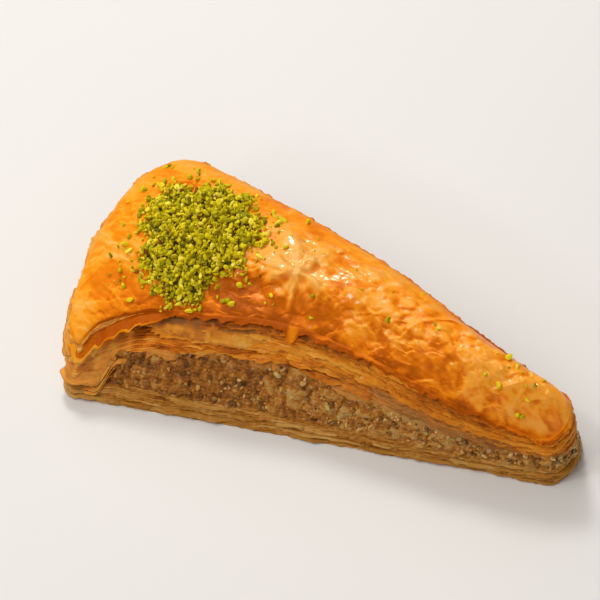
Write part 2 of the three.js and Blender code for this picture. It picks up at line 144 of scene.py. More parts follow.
# Places where the crust is browner (+) or paler (-): x, y, reach along, reach across, amount.
# The first two are painted shade beside the heap and the two paler ones round the star's middle
# are painted sheen; the others are darker amber and paler patches of the crust.
BROWN_AND_PAINTED_LIGHT_PLACES = [
    (-26, -6, 13, 6, 0.5),
    (-47, -12, 17, 3.5, 0.3),
    (-13, 6, 16, 9, -0.16),
    (64, -2, 20, 8, -0.3),
    (-60, 5, 18, 24, 0.16),
    (-7, 1.5, 4, 2.5, 0.22),
    (-1, -1, 5, 2.5, 0.26),
    (3, 6, 6, 3, 0.24),
    (10, -1.5, 6, 2, 0.26),
    (20, -5, 9, 2, 0.24),
    (30, -6, 7, 2, 0.22),
    (33, -2.5, 5, 2.5, 0.26),
    (41, -1, 4, 2, 0.16),
    (52, -5, 7, 2, 0.14),
    (60, -5, 6, 2, 0.18),
    (-57, -8, 9, 3, -0.1),
    (-14, 9, 11, 6, -0.4),
    (14, -3, 4, 2, -0.2),
    (26, 1, 6, 2.5, -0.24),
    (12, 13, 14, 4, -0.2),
    (50, 2, 8, 3, -0.2),
]
# The palest browning of glazed and of dry crust, and the darkest, which grows at the near edge.
TONE_LIMITS = {"glazed": 0.2, "dry": 0.06, "darkest": 0.7, "near_edge": 0.22}
# Where painted shade beside the heap lets the crust get darker still, as in the table above.
PAINTED_SHADE_DARKEST_PLACE = (-26, -6, 16, 7, 0.12)
# How gently the browning bends towards these limits.
SOFT_BEND = 0.1
# Where syrup lies thickest, as in the table above but with its change of dryness.
SYRUP_PLACE = (STAR["x"], STAR["y"] + 2, 20, 13, -0.7)
# Painted shade: the crust is coloured browner where it turns away from this light, above all where
# its relief does.
PAINTED_LIGHT_FACING = {"x": -0.3, "y": 0.3, "z": 0.9, "form": 0.25, "relief": 1.0}
# The crust's torn rim: how far it hangs down, and the rows it is made of, as shares of that drop.
RIM = {"drop": 1.5, "slow": 0.8, "ragged": 1.0, "torn": 0.5, "wide_end": 3.2, "tip": 0.7}
RIM_ROWS = (0.08, 0.2, 0.34, 0.48, 0.62, 0.76, 0.9, 1.0)
RIM_THICKNESS = 0.5
# Over how many points of the rim its browning is evened out before it runs down the side.
RIM_BLUR = 25
# The drop of syrup and crust that hangs from the rim below the star.
DRIP = {"x": -7, "y": -14, "half": 1.9, "drop": 3.4}
# The hollow line below the rim.
RECESS = {"near": 1.8, "far": 0.7, "below": 3.0, "reach": 1.6}
# The rim near the wide end on the near side, which hangs lower and stands off over a hollow.
FLAP = {"from": -68, "to": -47, "outside": 6, "inside": 3, "drop": 2.4, "lift": 1.3, "hollow": 2.6}
# The loose sheet that comes from under the rim beside the flap.
APRON = {"from": -52, "to": -13, "edge": 23.0, "lift": 0.8}
# Browning of the cut sides at depths below the rim: a dark amber band, which is partly glazed
# sheets and partly painted shade in the hollow under the rim, paler sheets, browner ones.
SIDE_BAND_AND_SHADE = {"depth": 2.7, "reach": 1.6, "amount": 0.36}
SIDE_PALE = {"depth": 6.6, "reach": 2.3, "amount": 0.18}
SIDE_DEEP = {"from": 8, "to": 14, "amount": 0.2}

# Loose scraps of single sheets: count, seed, length along the side, drop from root to torn edge,
# lift of that edge, level of the root (0 lowest, 1 highest) and dryness.
SCRAPS = {
    "thin": (150, 500, (6, 26), (0.5, 1.5), (0.1, 0.7), (0.06, 0.8), 0.1),
    "loose": (34, 600, (10, 34), (1.0, 2.4), (0.3, 1.0), (0.15, 0.75), 0.1),
    "over_filling": (40, 660, (4, 14), (0.8, 3.0), (-0.2, 0.3), (0.0, 0.04), 0.6),
    "torn": (30, 800, (6, 22), (1.2, 4), (0.6, 1.6), (0.1, 1.0), 0.7),
    "foot": (22, 860, (5, 14), (0.8, 2.2), (0.4, 1.1), (0.0, 0.25), 0.6),
    "below_rim": (34, 700, (10, 40), (0.8, 2.2), (0.2, 0.8), (0.84, 0.96), 0.1),
    "base": (70, 900, (6, 26), (0.5, 1.2), (0.1, 0.6), (0.0, 1.0), 0.1),
}
# How far scraps may hang below the lowest level, and how far their torn edges curl out.
SCRAP_OVERHANG = {"over_filling": 2.6, "others": 0.5}
SCRAP_CURL = {"torn": (-0.6, 0.9)}

# The thin sheets, in millimetres.
SHEET_SPACING = 0.62
BASE_SPACING = 0.7
SHEET_THICKNESS = 0.24

# Browning of the base, from 0 for pale to 1 for dark.
BASE_BROWNING = 0.36

# Nut pieces in the filling: how many places are tried, and their radius.
NUT_TRIES = 1400
NUT_RADIUS = (0.35, 1.25)

# The heap: the height of its solid core and the share of the heap that it fills, the highest that
# grains pile up and how far out they reach, and the grains' number and radius.
CORE_HEIGHT = 2.3
CORE_SHARE = 0.84
HEAP_HEIGHT = 4.9
HEAP_REACH = 1.12
HEAP_GRAINS = 2700
GRAIN_RADIUS = (0.4, 1.1)
# Pistachio grains that lie singly or in small clumps round the heap, and further away.
STRAYS = {"rim": 170, "clumps": 20, "in_clump": 5, "far": 26, "at_tip": 24}
STRAY_RADIUS = (0.3, 1.2)
# Every crumb is cut flat on so many sides, and those above these radii get finer meshes.
CHUNK_CUTS = 6
FINE_GRAIN = {"nut": 0.85, "heap": 0.75, "stray": 0.6}

# How finely the pieces are meshed.
CRUST_ROWS = 450
CRUST_COLUMNS = 176
RING_STEPS = 960
STACK_ROWS = 76
BASE_ROWS = 26
FILLING_ROWS = 56
FILLING_STEPS = 900
NUT_STEPS = 4000
SCRAP_STEPS = 4 * RING_STEPS
SCRAP_STEP = 0.5
CORE_RINGS = 30
CORE_SPOKES = 140

HALF_ANGLE = math.pi / SLICES
HALF_LENGTH = (WIDE_RADIUS - TIP_RADIUS) / 2
ORIGIN_RADIUS = (WIDE_RADIUS + TIP_RADIUS) / 2
WIDE_SAG = WIDE_RADIUS * (1 - math.cos(HALF_ANGLE))


# ---------------------------------------------------------------- the slice's form


def mix(a, b, share):
    return a + (b - a) * share


def bell(*offsets):
    """1 where every offset is 0, and less the further off they are."""
    return np.exp(-sum(np.square(offset) for offset in offsets))


def at_places(x, y, places):
    """The sum of soft spots, each given as x, y, reach along, reach across and amount."""
    total = np.zeros_like(x)
    for place_x, place_y, along, across, amount in places:
        total += amount * bell((x - place_x) / along, (y - place_y) / across)
    return total


def smooth(value, low, high):
    share = np.clip((value - low) / (high - low), 0, 1)
    return share * share * (3 - 2 * share)


def half_width(x):
    return (ORIGIN_RADIUS - x) * math.tan(HALF_ANGLE) - CUT_LOSS / 2


def section_value(x, key):
    """A value of the cross-sections at a place along the slice, on a smooth curve through them."""
    radii = np.array(SECTION_RADII, float)
    values = np.array(SECTIONS[key], float)
    radius = ORIGIN_RADIUS - np.asarray(x, float)
    last = len(radii) - 1
    k = sum((radius < edge).astype(int) for edge in radii[1:last])
    share = np.clip((radii[k] - radius) / (radii[k] - radii[k + 1]), 0, 1)

    def at(n):
        return values[np.clip(n, 0, last)]

    change = at(k + 1) - at(k)
    slope_in = (at(k + 1) - at(k - 1)) / 2
    slope_out = (at(k + 2) - at(k)) / 2
    bend = slope_in * (1 - share) - slope_out * share - change * (1 - 2 * share)
    return at(k) + change * share + share * (1 - share) * bend


def place_along(s, t, wide_inset, tip_inset):
    """x at a place (s, t), with the ends moved in by their insets."""
    w = np.abs(2 * t - 1)
    near = t < 0.5
    size = np.where(near, NEAR_CORNER["size"], FAR_CORNER["size"])
    power = np.where(near, NEAR_CORNER["power"], FAR_CORNER["power"])
    cut = size * (1 - np.sqrt(np.clip(1 - w**power, 0, 1)))
    wide = -HALF_LENGTH + wide_inset + WIDE_SAG * w * w + cut
    rounding = TIP_ROUNDING * (1 - np.sqrt(np.clip(1 - w * w, 0, 1)))
    return mix(wide, HALF_LENGTH - tip_inset - rounding, s)


def base_point(s, t):
    near = -half_width(place_along(s, np.zeros_like(t), 0, 0))
    far = half_width(place_along(s, np.ones_like(t), 0, 0))
    return np.stack([place_along(s, t, 0, 0), mix(near, far, t), np.zeros_like(t)], -1)


def crust_point(s, t):
    """A point of the crust without its relief; at t = 0 or 1 and s = 0 or 1 it is on the edge."""

    def along(column):
        inset = mix(CRUST_WIDE_INSET["near"], CRUST_WIDE_INSET["far"], column)
        return place_along(s, column, inset, CRUST_TIP_INSET)

    near_x = along(np.zeros_like(t))
    far_x = along(np.ones_like(t))
    near = -half_width(near_x) + section_value(near_x, "near_inset")
    far = half_width(far_x) - section_value(far_x, "far_inset")
    edge = mix(section_value(near_x, "near_height"), section_value(far_x, "far_height"), t)
    crown = mix(section_value(near_x, "crown"), section_value(far_x, "crown"), t)
    skew = math.log(0.5) / math.log(CROWN_PLACE)
    arch = np.clip(np.sin(np.pi * t**skew), 0, 1) ** CROWN_FULLNESS
    from_end = np.minimum(s, 1 - s) * 2 * HALF_LENGTH
    rise = mix(END_CROWN, 1, np.sqrt(np.clip(from_end / END_ROLL, 0, 1)))
    return np.stack([along(t), mix(near, far, t), edge + crown * arch * rise], -1)


def filling_top(s):
    middle = mix(FILLING_TOP["wide"], FILLING_TOP["middle"], smooth(s, *FILLING_RISE))
    return mix(middle, FILLING_TOP["tip"], smooth(s, *FILLING_TAPER))


def uneven_wave(a, b, phase):
    slow = np.sin(a * 0.21 + b * 0.13 + phase * 1.7)
    middle = np.sin(a * 0.53 - b * 0.37 + phase * 2.9)
    fast = np.sin(a * 1.07 + b * 0.71 + phase * 4.3)
    return slow * 0.45 + middle * 0.33 + fast * 0.22


near_reach = half_width(place_along(0, np.array(0.0), 0, 0))
far_reach = half_width(place_along(0, np.array(1.0), 0, 0))
SIDE_SHIFT = float(near_reach - far_reach) / 2
SPAN = float(place_along(1, np.array(0.0), 0, 0) - place_along(0, np.array(0.0), 0, 0))
FOLD_END = FOLD_THICKNESS / SPAN
FILLING_START = (FOLD_THICKNESS + FOLD_STEP + LAYER_GAP) / SPAN


# ---------------------------------------------------------------- noise


class Noise:
    """Smooth, seeded noise between about -1 and 1."""

    def __init__(self, seed):
        source = np.random.RandomState(seed)
        self.order = source.permutation(256)
        slopes = source.normal(size=(256, 3))
        self.slopes = slopes / np.linalg.norm(slopes, axis=1)[:, None]

    def __call__(self, x, y, z=0.0):
        point = np.stack(np.broadcast_arrays(x, y, z), -1).astype(float)
        cell = np.floor(point).astype(int)
        inside = point - cell
        ease = inside**3 * (inside * (inside * 6 - 15) + 10)
        total = 0
        for corner in itertools.product((0, 1), repeat=3):
            at = (cell + corner) & 255
            index = self.order[at[..., 0]]
            index = self.order[(index + at[..., 1]) & 255]
            index = self.order[(index + at[..., 2]) & 255]
            value = (self.slopes[index] * (inside - corner)).sum(-1)
            weight = np.where(np.array(corner) == 1, ease, 1 - ease).prod(-1)
            total = total + weight * value
        return 1.6 * total

    def layered(self, x, y, z=0.0, octaves=3):
        total, size = 0, 1.0
        for octave in range(octaves):
            total = total + size * self(x, y, z + 17.3 * octave)
            x, y, z = 1.6 * x + 1.2 * y, 1.6 * y - 1.2 * x, 2.0 * z
            size *= 0.5
        return total / 1.6

    def ridge(self, x, y, z=0.0, sharpness=6):
        return (1 - np.abs(self(x, y, z))).clip(0, 1) ** sharpness


folds = Noise(11)
creases = Noise(23)
spots = Noise(37)
edges = Noise(53)
grit = Noise(71)


# ---------------------------------------------------------------- the crust's relief


def star_relief(x, y):
    """Creases that run out from one point, where the top sheets were pinched together."""
    source = np.random.RandomState(5)
    dx, dy = x - STAR["x"], y - STAR["y"]
    away = np.hypot(dx, dy)
    height = np.zeros_like(x)
    for arm in range(STAR["arms"]):
        heading = 2 * np.pi * (arm + source.uniform(-0.3, 0.3)) / STAR["arms"]
        reach = source.uniform(STAR["shortest"], STAR["longest"])
        bend = source.uniform(-0.03, 0.03)
        size = source.uniform(0.5, 1.0)
        turned = heading + bend * away + 0.16 * folds(x * 0.3, y * 0.3, arm)
        ahead = dx * np.cos(turned) + dy * np.sin(turned)
        beside = -dx * np.sin(turned) + dy * np.cos(turned)
        width = 0.75 + 0.1 * np.clip(ahead, 0, None)
        line = bell(beside / width) * smooth(ahead, 0, 1.5)
        height += size * line * (1 - smooth(ahead, 0.5 * reach, reach))
    to_drip = mix(DRIP["x"], STAR["x"], smooth(y, DRIP["y"], STAR["y"]))
    beside = x - to_drip - 0.5 * folds(y * 0.4, 3)
    height += 0.9 * bell(beside / 1.5) * (1 - smooth(y, -2, STAR["y"]))
    return STAR["height"] * mix(height, 1.0, bell(away / 1.7))


def star_zone(x, y):
    """1 at the star's middle, falling off over its arms."""
    return bell((x - STAR["x"]) / STAR["longest"], (y - STAR["y"]) / STAR["longest"])


def blister_relief(x, y):
    """Small bubbles in the glazed sheets, most of them towards the tip, and a few larger ones."""
    source = np.random.RandomState(9)
    height = np.zeros_like(x)
    for _ in range(BLISTERS):
        along = mix(-30, 74, source.rand() ** 0.8)
        across = source.uniform(-0.8, 0.8) * (half_width(along) - 4) + 3
        radius = mix(*BLISTER_RADIUS, source.rand() ** 2)
        rise = source.uniform(0.12, 0.34) * radius
        away = np.hypot((x - along) * source.uniform(0.6, 1), y - across) / radius
        height = np.maximum(height, rise * np.clip(1 - away**2, 0, 1) ** 1.3)
    for along, across, radius, rise in GLINTS:
        away = np.hypot(0.7 * (x - along), y - across) / radius
        height = height + rise * np.clip(1 - away**2, 0, 1) ** 1.5
    return height


def puffed(noise, x, y, z=0.0, octaves=3):
    """Rounded swellings with sharp creases between them."""
    total, size = 0, 1.0
    for octave in range(octaves):
        total = total + size * np.abs(noise(x, y, z + 9.1 * octave))
        x, y, size = 1.7 * x + 0.9 * y, 1.7 * y - 0.9 * x, size * 0.5
    return total


def torn_sheets(x, y):
    """The steps where a top sheet has torn away, and 1 along the very edges of those sheets."""
    height, edge = np.zeros_like(x), np.zeros_like(x)
    for number, (along, across, level, thickness) in enumerate(TORN_SHEETS):
        field = spots(x * along, y * across, 14 + 20 * number)
        field += 0.22 * spots(x * 0.3, y * 0.3, 3 + 20 * number)
        field += 0.05 * spots(x * 0.9, y * 0.9, 8 + 20 * number)
        height += thickness * smooth(field - level, -TORN_STEP, TORN_STEP)
        edge += bell((field - level - TORN_STEP) / 0.03)
    return height, np.clip(edge, 0, 1)


def fine_relief(x, y):
    """The crust's swellings, creases and pleats, laid over places that are bent a little."""
    warp_x = x + 7.0 * folds(x * 0.05, y * 0.07, 3)
    warp_y = y + 5.0 * folds(x * 0.06, y * 0.08, 8)
    star = star_zone(x, y)
    far_calm = 1 - 0.6 * smooth(y / half_width(x), 0.1, 0.45)
    rough = smooth(spots(x * 0.04, y * 0.07, 71), -0.35, 0.35) * (1 - 0.45 * crust_dryness(x, y))
    rough = mix(0.4, 1, rough) * (1 - 0.8 * star) * far_calm
    # Broad swellings, and smaller ones where the crust is rough.
    height = 1.2 * (1 - 0.4 * star) * puffed(creases, warp_x * 0.05, warp_y * 0.085, 1, 2) - 0.75
    height += 0.75 * rough * folds.layered(warp_x * 0.11, warp_y * 0.19, 40, 2)
    height += 0.4 * rough * puffed(creases, warp_x * 0.2, warp_y * 0.3, 81, 1)
    # Raised creases, and fine sunk ones.
    creased = smooth(spots(x * 0.06, y * 0.1, 4), -0.2, 0.4) * (1 - 0.7 * star)
    height += 0.7 * creased * creases.ridge(warp_x * 0.05, warp_y * 0.12, 2, 8)
    height += 0.2 * rough * creases.ridge(warp_x * 0.14, warp_y * 0.2, 6, 8)
    height -= 0.2 * rough * creases.ridge(warp_x * 0.2, warp_y * 0.3, 16, 8)
    # Long pleats towards the tip, and at its very end short swellings.
    to_tip = smooth(x, 16, 44) * far_calm
    height += 0.9 * to_tip * (creases.ridge(warp_x * 0.085, warp_y * 0.26, 33, 2.5) - 0.4)
    height += 0.45 * to_tip * (puffed(creases, warp_x * 0.2, warp_y * 0.34, 36, 1) - 0.4)
    height += 0.6 * smooth(x, 50, 66) * (puffed(creases, x * 0.2, y * 0.26, 39, 1) - 0.4)
    # Pleats down the near slope.
    pleats = creases.ridge(warp_x * 0.075 - 0.03 * y, warp_y * 0.26 + 0.04 * x, 45, 2.5)
    pleats = 0.9 * (pleats - 0.5) + 0.35 * (puffed(creases, x * 0.22, y * 0.32, 48, 1) - 0.4)
    height += smooth(y, 8, -1) * smooth(x, -30, 5) * (1 - star) * pleats
    return height + far_calm * torn_sheets(x, y)[0] + 0.08 * grit.layered(x * 0.5, y * 0.6)


def crust_dryness(x, y):
    """1 where the crust is dry, over the wide end and the far edge, and 0 where syrup glazes it."""
    uneven = 9 * spots(x * 0.05, y * 0.07, 21) + 3 * spots(x * 0.2, y * 0.2, 5)
    wide_end = 1 - 0.9 * smooth(x + uneven + 0.25 * y, -48, -26)
    far_edge = 0.75 * smooth(y / half_width(x) + 0.02 * uneven, 0.5, 0.85)
    return np.maximum(wide_end, far_edge)


def crust_surface(s, t):
    """The crust with its relief, and how far each point is raised or sunk by it."""
    point = crust_point(s, t)
    x, y = point[..., 0], point[..., 1]
    fade = np.clip(RELIEF_FADE["side"] * np.minimum(t, 1 - t), 0, 1)
    fade = fade * np.clip(RELIEF_FADE["end"] * np.minimum(s, 1 - s), 0, 1)
    form = WRINKLES["depth"] * uneven_wave(x * WRINKLES["along"], y * WRINKLES["across"], 1)
    form += at_places(x, y, SWELLS)
    fine = fine_relief(x, y) + (star_relief(x, y) + blister_relief(x, y)) * fade
    for glint_x, glint_y, radius, rise in GLINTS:
        away = np.hypot(0.7 * (x - glint_x), y - glint_y) / radius
        fine = mix(fine, 1.2 * rise, 0.75 * smooth(away, 1.0, 0.35) * fade)
    point[..., 2] += form * fade + fine * mix(0.55, 1, fade)
    return point, fine


def crust_place(x, y):
    """(s, t) of the crust over a place on the ground."""
    s, t = np.full_like(x, 0.5), np.full_like(x, 0.5)
    step, rounds = 0.01, 12
    for _ in range(rounds):
        here = crust_point(s, t)
        per_s = (crust_point(s + step, t)[..., 0] - here[..., 0]) / step
        per_t = (crust_point(s, t + step)[..., 1] - here[..., 1]) / step
        s = np.clip(s + (x - here[..., 0]) / per_s, step, 1 - 2 * step)
        t = np.clip(t + (y - here[..., 1]) / per_t, step, 1 - 2 * step)
    return s, t


def crust_height(x, y):
    return crust_surface(*crust_place(x, y))[0][..., 2]


# ---------------------------------------------------------------- meshes


class Shape:
    """Points in millimetres, faces, and values at the points."""

    def __init__(self):
        self.points, self.faces, self.values, self.count = [], [], {}, 0

    def add(self, points, faces, **values):
        points = np.asarray(points, float).reshape(-1, 3)
        for group in faces:
            self.faces += (np.asarray(group) + self.count).tolist()
        for key, value in values.items():
            value = np.broadcast_to(value, points.shape[:1]) if np.ndim(value) < 1 else value
            self.values.setdefault(key, []).append(np.asarray(value, float).reshape(-1))
        self.points.append(points)
        self.count += len(points)

    def build(self, name, material, node, is_smooth=True):
        mesh = bpy.data.meshes.new(name)
        points = (np.concatenate(self.points) + [0, SIDE_SHIFT, 0]) * MM
        points[:, 2] = np.maximum(points[:, 2], 0)
        mesh.from_pydata(points.tolist(), [], self.faces)
        for key, parts in self.values.items():
            attribute = mesh.attributes.new(key, "FLOAT", "POINT")
            attribute.data.foreach_set("value", np.concatenate(parts).astype(np.float32))
        mesh.polygons.foreach_set("use_smooth", [is_smooth] * len(mesh.polygons))
        mesh.materials.append(material)
        mesh.update()
        piece = bpy.data.objects.new(name, mesh)
        bpy.context.scene.collection.objects.link(piece)
        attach(piece, "root")
        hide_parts(node)
        return piece


def spread(count):
    """Steps from 0 to 1, closer together towards both ends."""
    even = np.linspace(0, 1, count + 1)
    return (even + 0.5 - 0.5 * np.cos(np.pi * even)) / 2


def outline(count, start=0.0):
    """Evenly spaced (s, t) round the slice: near side, tip, far side and wide end."""
    even = np.linspace(0, 1, 2000, endpoint=False)
    turn = 0.5 - 0.5 * np.cos(np.pi * even)
    there = mix(start, 1, even)
    back = mix(1, start, even)
    ones = np.ones_like(even)
    s = np.concatenate([there, ones, back, start * ones])
    t = np.concatenate([0 * ones, turn, ones, 1 - turn])
    path = (base_point(s, t) + crust_point(s, t)) / 2
    steps = np.linalg.norm(np.roll(path, -1, 0) - path, axis=1)
    reach = np.concatenate([[0], np.cumsum(steps)])
    at = np.linspace(0, reach[-1], count, endpoint=False)
    return np.interp(at, reach, np.append(s, s[0])), np.interp(at, reach, np.append(t, t[0]))


class Flank:
    """The cut sides: straight lines from the underside's outline up to the crust's edge."""

    def __init__(self, s, t, closed=True):
        self.s, self.t, self.closed = s, t, closed
        self.near = smooth(0.5 - t, 0, 0.4)
        self.ground = base_point(s, t)
        self.rise = crust_point(s, t) - self.ground
        self.top = self.rise[:, 2]
        self.x = self.ground[:, 0]
        self.y = self.ground[:, 1]
        self.at_end = smooth(-s, -2.2 * FOLD_END, -0.6 * FOLD_END)

    def wave(self, per_mm, seed):
        """Noise round the sides, the finer the more waves it has per millimetre."""
        return edges(self.x * per_mm, self.y * per_mm, seed)

    def point(self, height, out=0.0):
        share = (height / self.top)[:, None]
        place = self.ground + self.rise * share
        if self.closed:
            along = np.roll(place, -2, 0) - np.roll(place, 2, 0)
        else:
            along = np.gradient(place, axis=0)
        normal = np.cross(along, self.rise)
        normal /= np.linalg.norm(normal, axis=1)[:, None]
        return place + normal * np.broadcast_to(out, height.shape)[:, None]


def quads(index, closed=False):
    """Quads over a grid of point numbers, whose last column joins the first where it is closed."""
    if closed:
        index = np.concatenate([index, index[:, :1]], 1)
    corners = [index[:-1, :-1], index[1:, :-1], index[1:, 1:], index[:-1, 1:]]
    return np.stack(corners, -1).reshape(-1, 4)


def grid_rim(index):
    """The point numbers along a grid's four sides, in order."""
    return np.concatenate([index[:-1, 0], index[-1, :-1], index[:0:-1, -1], index[0, :0:-1]])


def fan_faces(ring, centre, upwards):
    following = np.roll(ring, -1)
    middle = np.full_like(ring, centre)
    return np.stack([ring, following, middle] if upwards else [following, ring, middle], -1)


def block(shape, loops, **values):
    """A closed block from rings of points stacked upwards."""
    loops = np.asarray(loops)
    index = np.arange(loops[..., 0].size).reshape(loops.shape[:2])
    points = np.concatenate([loops.reshape(-1, 3), [loops[0].mean(0), loops[-1].mean(0)]])
    faces = [
        quads(index, closed=True)[:, [0, 3, 2, 1]],
        fan_faces(index[0], index.size, False),
        fan_faces(index[-1], index.size + 1, True),
    ]
    padded = {}
    for key, value in values.items():
        value = np.broadcast_to(value, index.shape).reshape(-1)
        padded[key] = np.append(value, [value[0], value[-1]])
    shape.add(points, faces, **padded)


def thin_sheet(shape, outer, inner, **values):
    """A closed scrap of sheet between two grids of points, the outer one facing outwards."""
    index = np.arange(outer[..., 0].size).reshape(outer.shape[:2])
    rim = grid_rim(index)
    front = quads(index)
    back = (front + index.size)[:, ::-1]
    border = quads(np.stack([rim, rim + index.size]), closed=True)
    points = np.concatenate([outer.reshape(-1, 3), inner.reshape(-1, 3)])
    for key, value in values.items():
        values[key] = np.tile(np.broadcast_to(value, index.shape).reshape(-1), 2)
    shape.add(points, [front, back, border], **values)


def scrap(shape, flank, root, edge, lift, shade, seed, dryness, curl=0.0, pleats=0.0):
    """A loose scrap of sheet on a flank: fixed along its root, standing off at its torn edge."""
    from_end = 1 - np.abs(np.linspace(-1, 1, len(flank.x)))
    fade = smooth(from_end, 0, 0.4)
    crinkle = flank.wave(0.3, seed + 1)
    crinkle = crinkle + pleats * (creases.ridge(flank.x * 0.3, 0, 97, 3) - 0.5)
    outer, inner, tones = [], [], []
    for share in (0, 0.3, 0.6, 0.85, 1):
        height = mix(root, edge, share)
        wave = crinkle + 0.6 * flank.wave(0.7, seed + 2 + height * 0.25)
        out = mix(0.2, lift, share**1.4) + 0.3 * wave * (0.4 + share) + curl * share**4
        out = mix(-0.5, out, fade) if share else -0.5 + 0 * out
        outer.append(flank.point(height, out + SHEET_THICKNESS))
        inner.append(flank.point(height, out))
        tones.append(shade(flank, height) + 0.14 * wave - 0.16 * smooth(share, 0.7, 1))
    thin_sheet(shape, np.array(outer), np.array(inner), browning=np.array(tones), dryness=dryness)


def scatter_scraps(shape, ring, kind, span, where, shade):
    """Scraps of one kind, of random length, drop and lift, over part of a ring round the slice."""
    count, seed, length, drops, lifts, levels, dryness = SCRAPS[kind]
    low, high = span
    overhang = SCRAP_OVERHANG.get(kind, SCRAP_OVERHANG["others"])
    source = np.random.RandomState(seed)
    step = np.linalg.norm(np.diff(ring.ground, axis=0), axis=1).mean()
    stride = max(1, round(SCRAP_STEP / step))
    for number in range(count):
        middle = source.choice(np.flatnonzero(where))
        half = int(source.uniform(*length) / step / 2)
        picks = (middle + np.arange(-half, half + 1, stride)) % len(ring.s)
        part = Flank(ring.s[picks], ring.t[picks], closed=False)
        own = seed + 2.3 * number
        drop = source.uniform(*drops)
        root = mix(low[picks], high[picks], mix(*levels, source.rand()))
        root = root + 0.5 * drop * part.wave(0.09, own)
        ragged = part.wave(0.22, own + 7)
        torn = part.wave(0.8, own + 9)
        edge = root - drop * np.clip(1 + 0.6 * ragged + 0.35 * torn, 0.25, None)
        edge = np.maximum(edge, low[picks] - overhang)
        root = np.maximum(root, edge + 0.4)
        lift = source.uniform(*lifts) * np.clip(1 + 0.5 * ragged, 0.3, None)
        curl = source.uniform(*SCRAP_CURL.get(kind, (0, 0)))
        tint = source.uniform(-0.16, 0.16)
        # Painted shade greys and dulls scraps low on the near side towards the tip.
        dry = dryness + 0.5 * painted_shade_foot(part, root).mean()
        scrap(shape, part, root, edge, lift, lambda *at: shade(*at) + tint, own, dry, curl)


def chunk(source, detail, longest=1.5):
    """The points and faces of one crushed crumb with broken flat sides, about 1 in radius."""
    points, faces = SPHERES[detail]
    for _ in range(CHUNK_CUTS):
        normal = source.normal(size=3)
        normal /= np.linalg.norm(normal)
        beyond = points @ normal - source.uniform(0.4, 0.85)
        points = points - np.clip(beyond, 0, None)[:, None] * normal
    size = source.uniform(1, longest), source.uniform(0.7, 1), source.uniform(0.55, 0.9)
    points = points * size
    turn = np.linalg.qr(source.normal(size=(3, 3)))[0]
    return points @ (turn * np.sign(np.linalg.det(turn))), faces


def make_sphere(subdivisions):
    ball = bmesh.new()
    bmesh.ops.create_icosphere(ball, subdivisions=subdivisions, radius=1)
    points = np.array([v.co[:] for v in ball.verts])
    faces = np.array([[v.index for v in f.verts] for f in ball.faces])
    ball.free()
    return points, faces


SPHERES = {"coarse": make_sphere(1), "fine": make_sphere(2)}


# ---------------------------------------------------------------- materials


class Look:
    """A material's nodes, added in short steps. Textures lie in the part's own millimetres."""

    def __init__(self, name):
        self.material = bpy.data.materials.new(name)
        self.material.use_nodes = True
        self.tree = self.material.node_tree
        self.shader = self.tree.nodes["Principled BSDF"]
        place = self.tree.nodes.new("ShaderNodeTexCoord").outputs["Object"]
        self.place = self.add("VectorMath", {0: place, 1: (1000,) * 3}, operation="MULTIPLY")

    def add(self, kind, inputs, output=0, **settings):
        node = self.tree.nodes.new("ShaderNode" + kind)
        for key, value in settings.items():
            setattr(node, key, value)
        for key, value in inputs.items():
            if isinstance(value, bpy.types.NodeSocket):
                self.tree.links.new(value, node.inputs[key])
            else:
                node.inputs[key].default_value = value
        return node.outputs[output]

    def value(self, name):
        return self.add("Attribute", {}, "Fac", attribute_name=name)

    def math(self, operation, a, b=0.0, c=0.0):
        return self.add("Math", {0: a, 1: b, 2: c}, operation=operation)

    def between(self, value, low, high, at_low, at_high):
        return self.add("MapRange", {0: value, 1: low, 2: high, 3: at_low, 4: at_high})

    def varied(self, tone, noises):
        """A tone with noises added, each by its share."""
        for noise, share in noises:
            middle = self.math("SUBTRACT", tone, share / 2)
            tone = self.math("MULTIPLY_ADD", noise, share, middle)
        return tone

    def noise(self, per_mm, detail=2.0, roughness=0.5, stretch=(1, 1, 1), shift=0.0, **settings):
        moved = self.add(
            "Mapping", {"Vector": self.place, "Location": (shift,) * 3, "Scale": stretch}
        )
        inputs = {"Vector": moved, "Scale": per_mm, "Detail": detail, "Roughness": roughness}
        return self.add("TexNoise", inputs, "Fac", **settings)

    def ramp(self, factor, stops):
        node = self.tree.nodes.new("ShaderNodeValToRGB")
        self.tree.links.new(factor, node.inputs[0])
        elements = node.color_ramp.elements
        while len(elements) < len(stops):
            elements.new(0.5)
        for element, (position, colour) in zip(elements, stops):
            element.position = position
            element.color = (*colour, 1)
        return node.outputs[0]

    def mixed(self, factor, a, b):
        inputs = {0: factor, 6: a, 7: b}
        return self.add("Mix", inputs, 2, data_type="RGBA")

    def bump(self, height, distance, strength=1.0, normal=None):
        inputs = {"Height": height, "Distance": distance * MM, "Strength": strength}
        if normal is not None:
            inputs["Normal"] = normal
        return self.add("Bump", inputs)

    def finish(self, **sockets):
        for key, value in sockets.items():
            socket = self.shader.inputs[key.replace("_", " ")]
            if isinstance(value, bpy.types.NodeSocket):
                self.tree.links.new(value, socket)
            else:
                socket.default_value = value
        return self.material


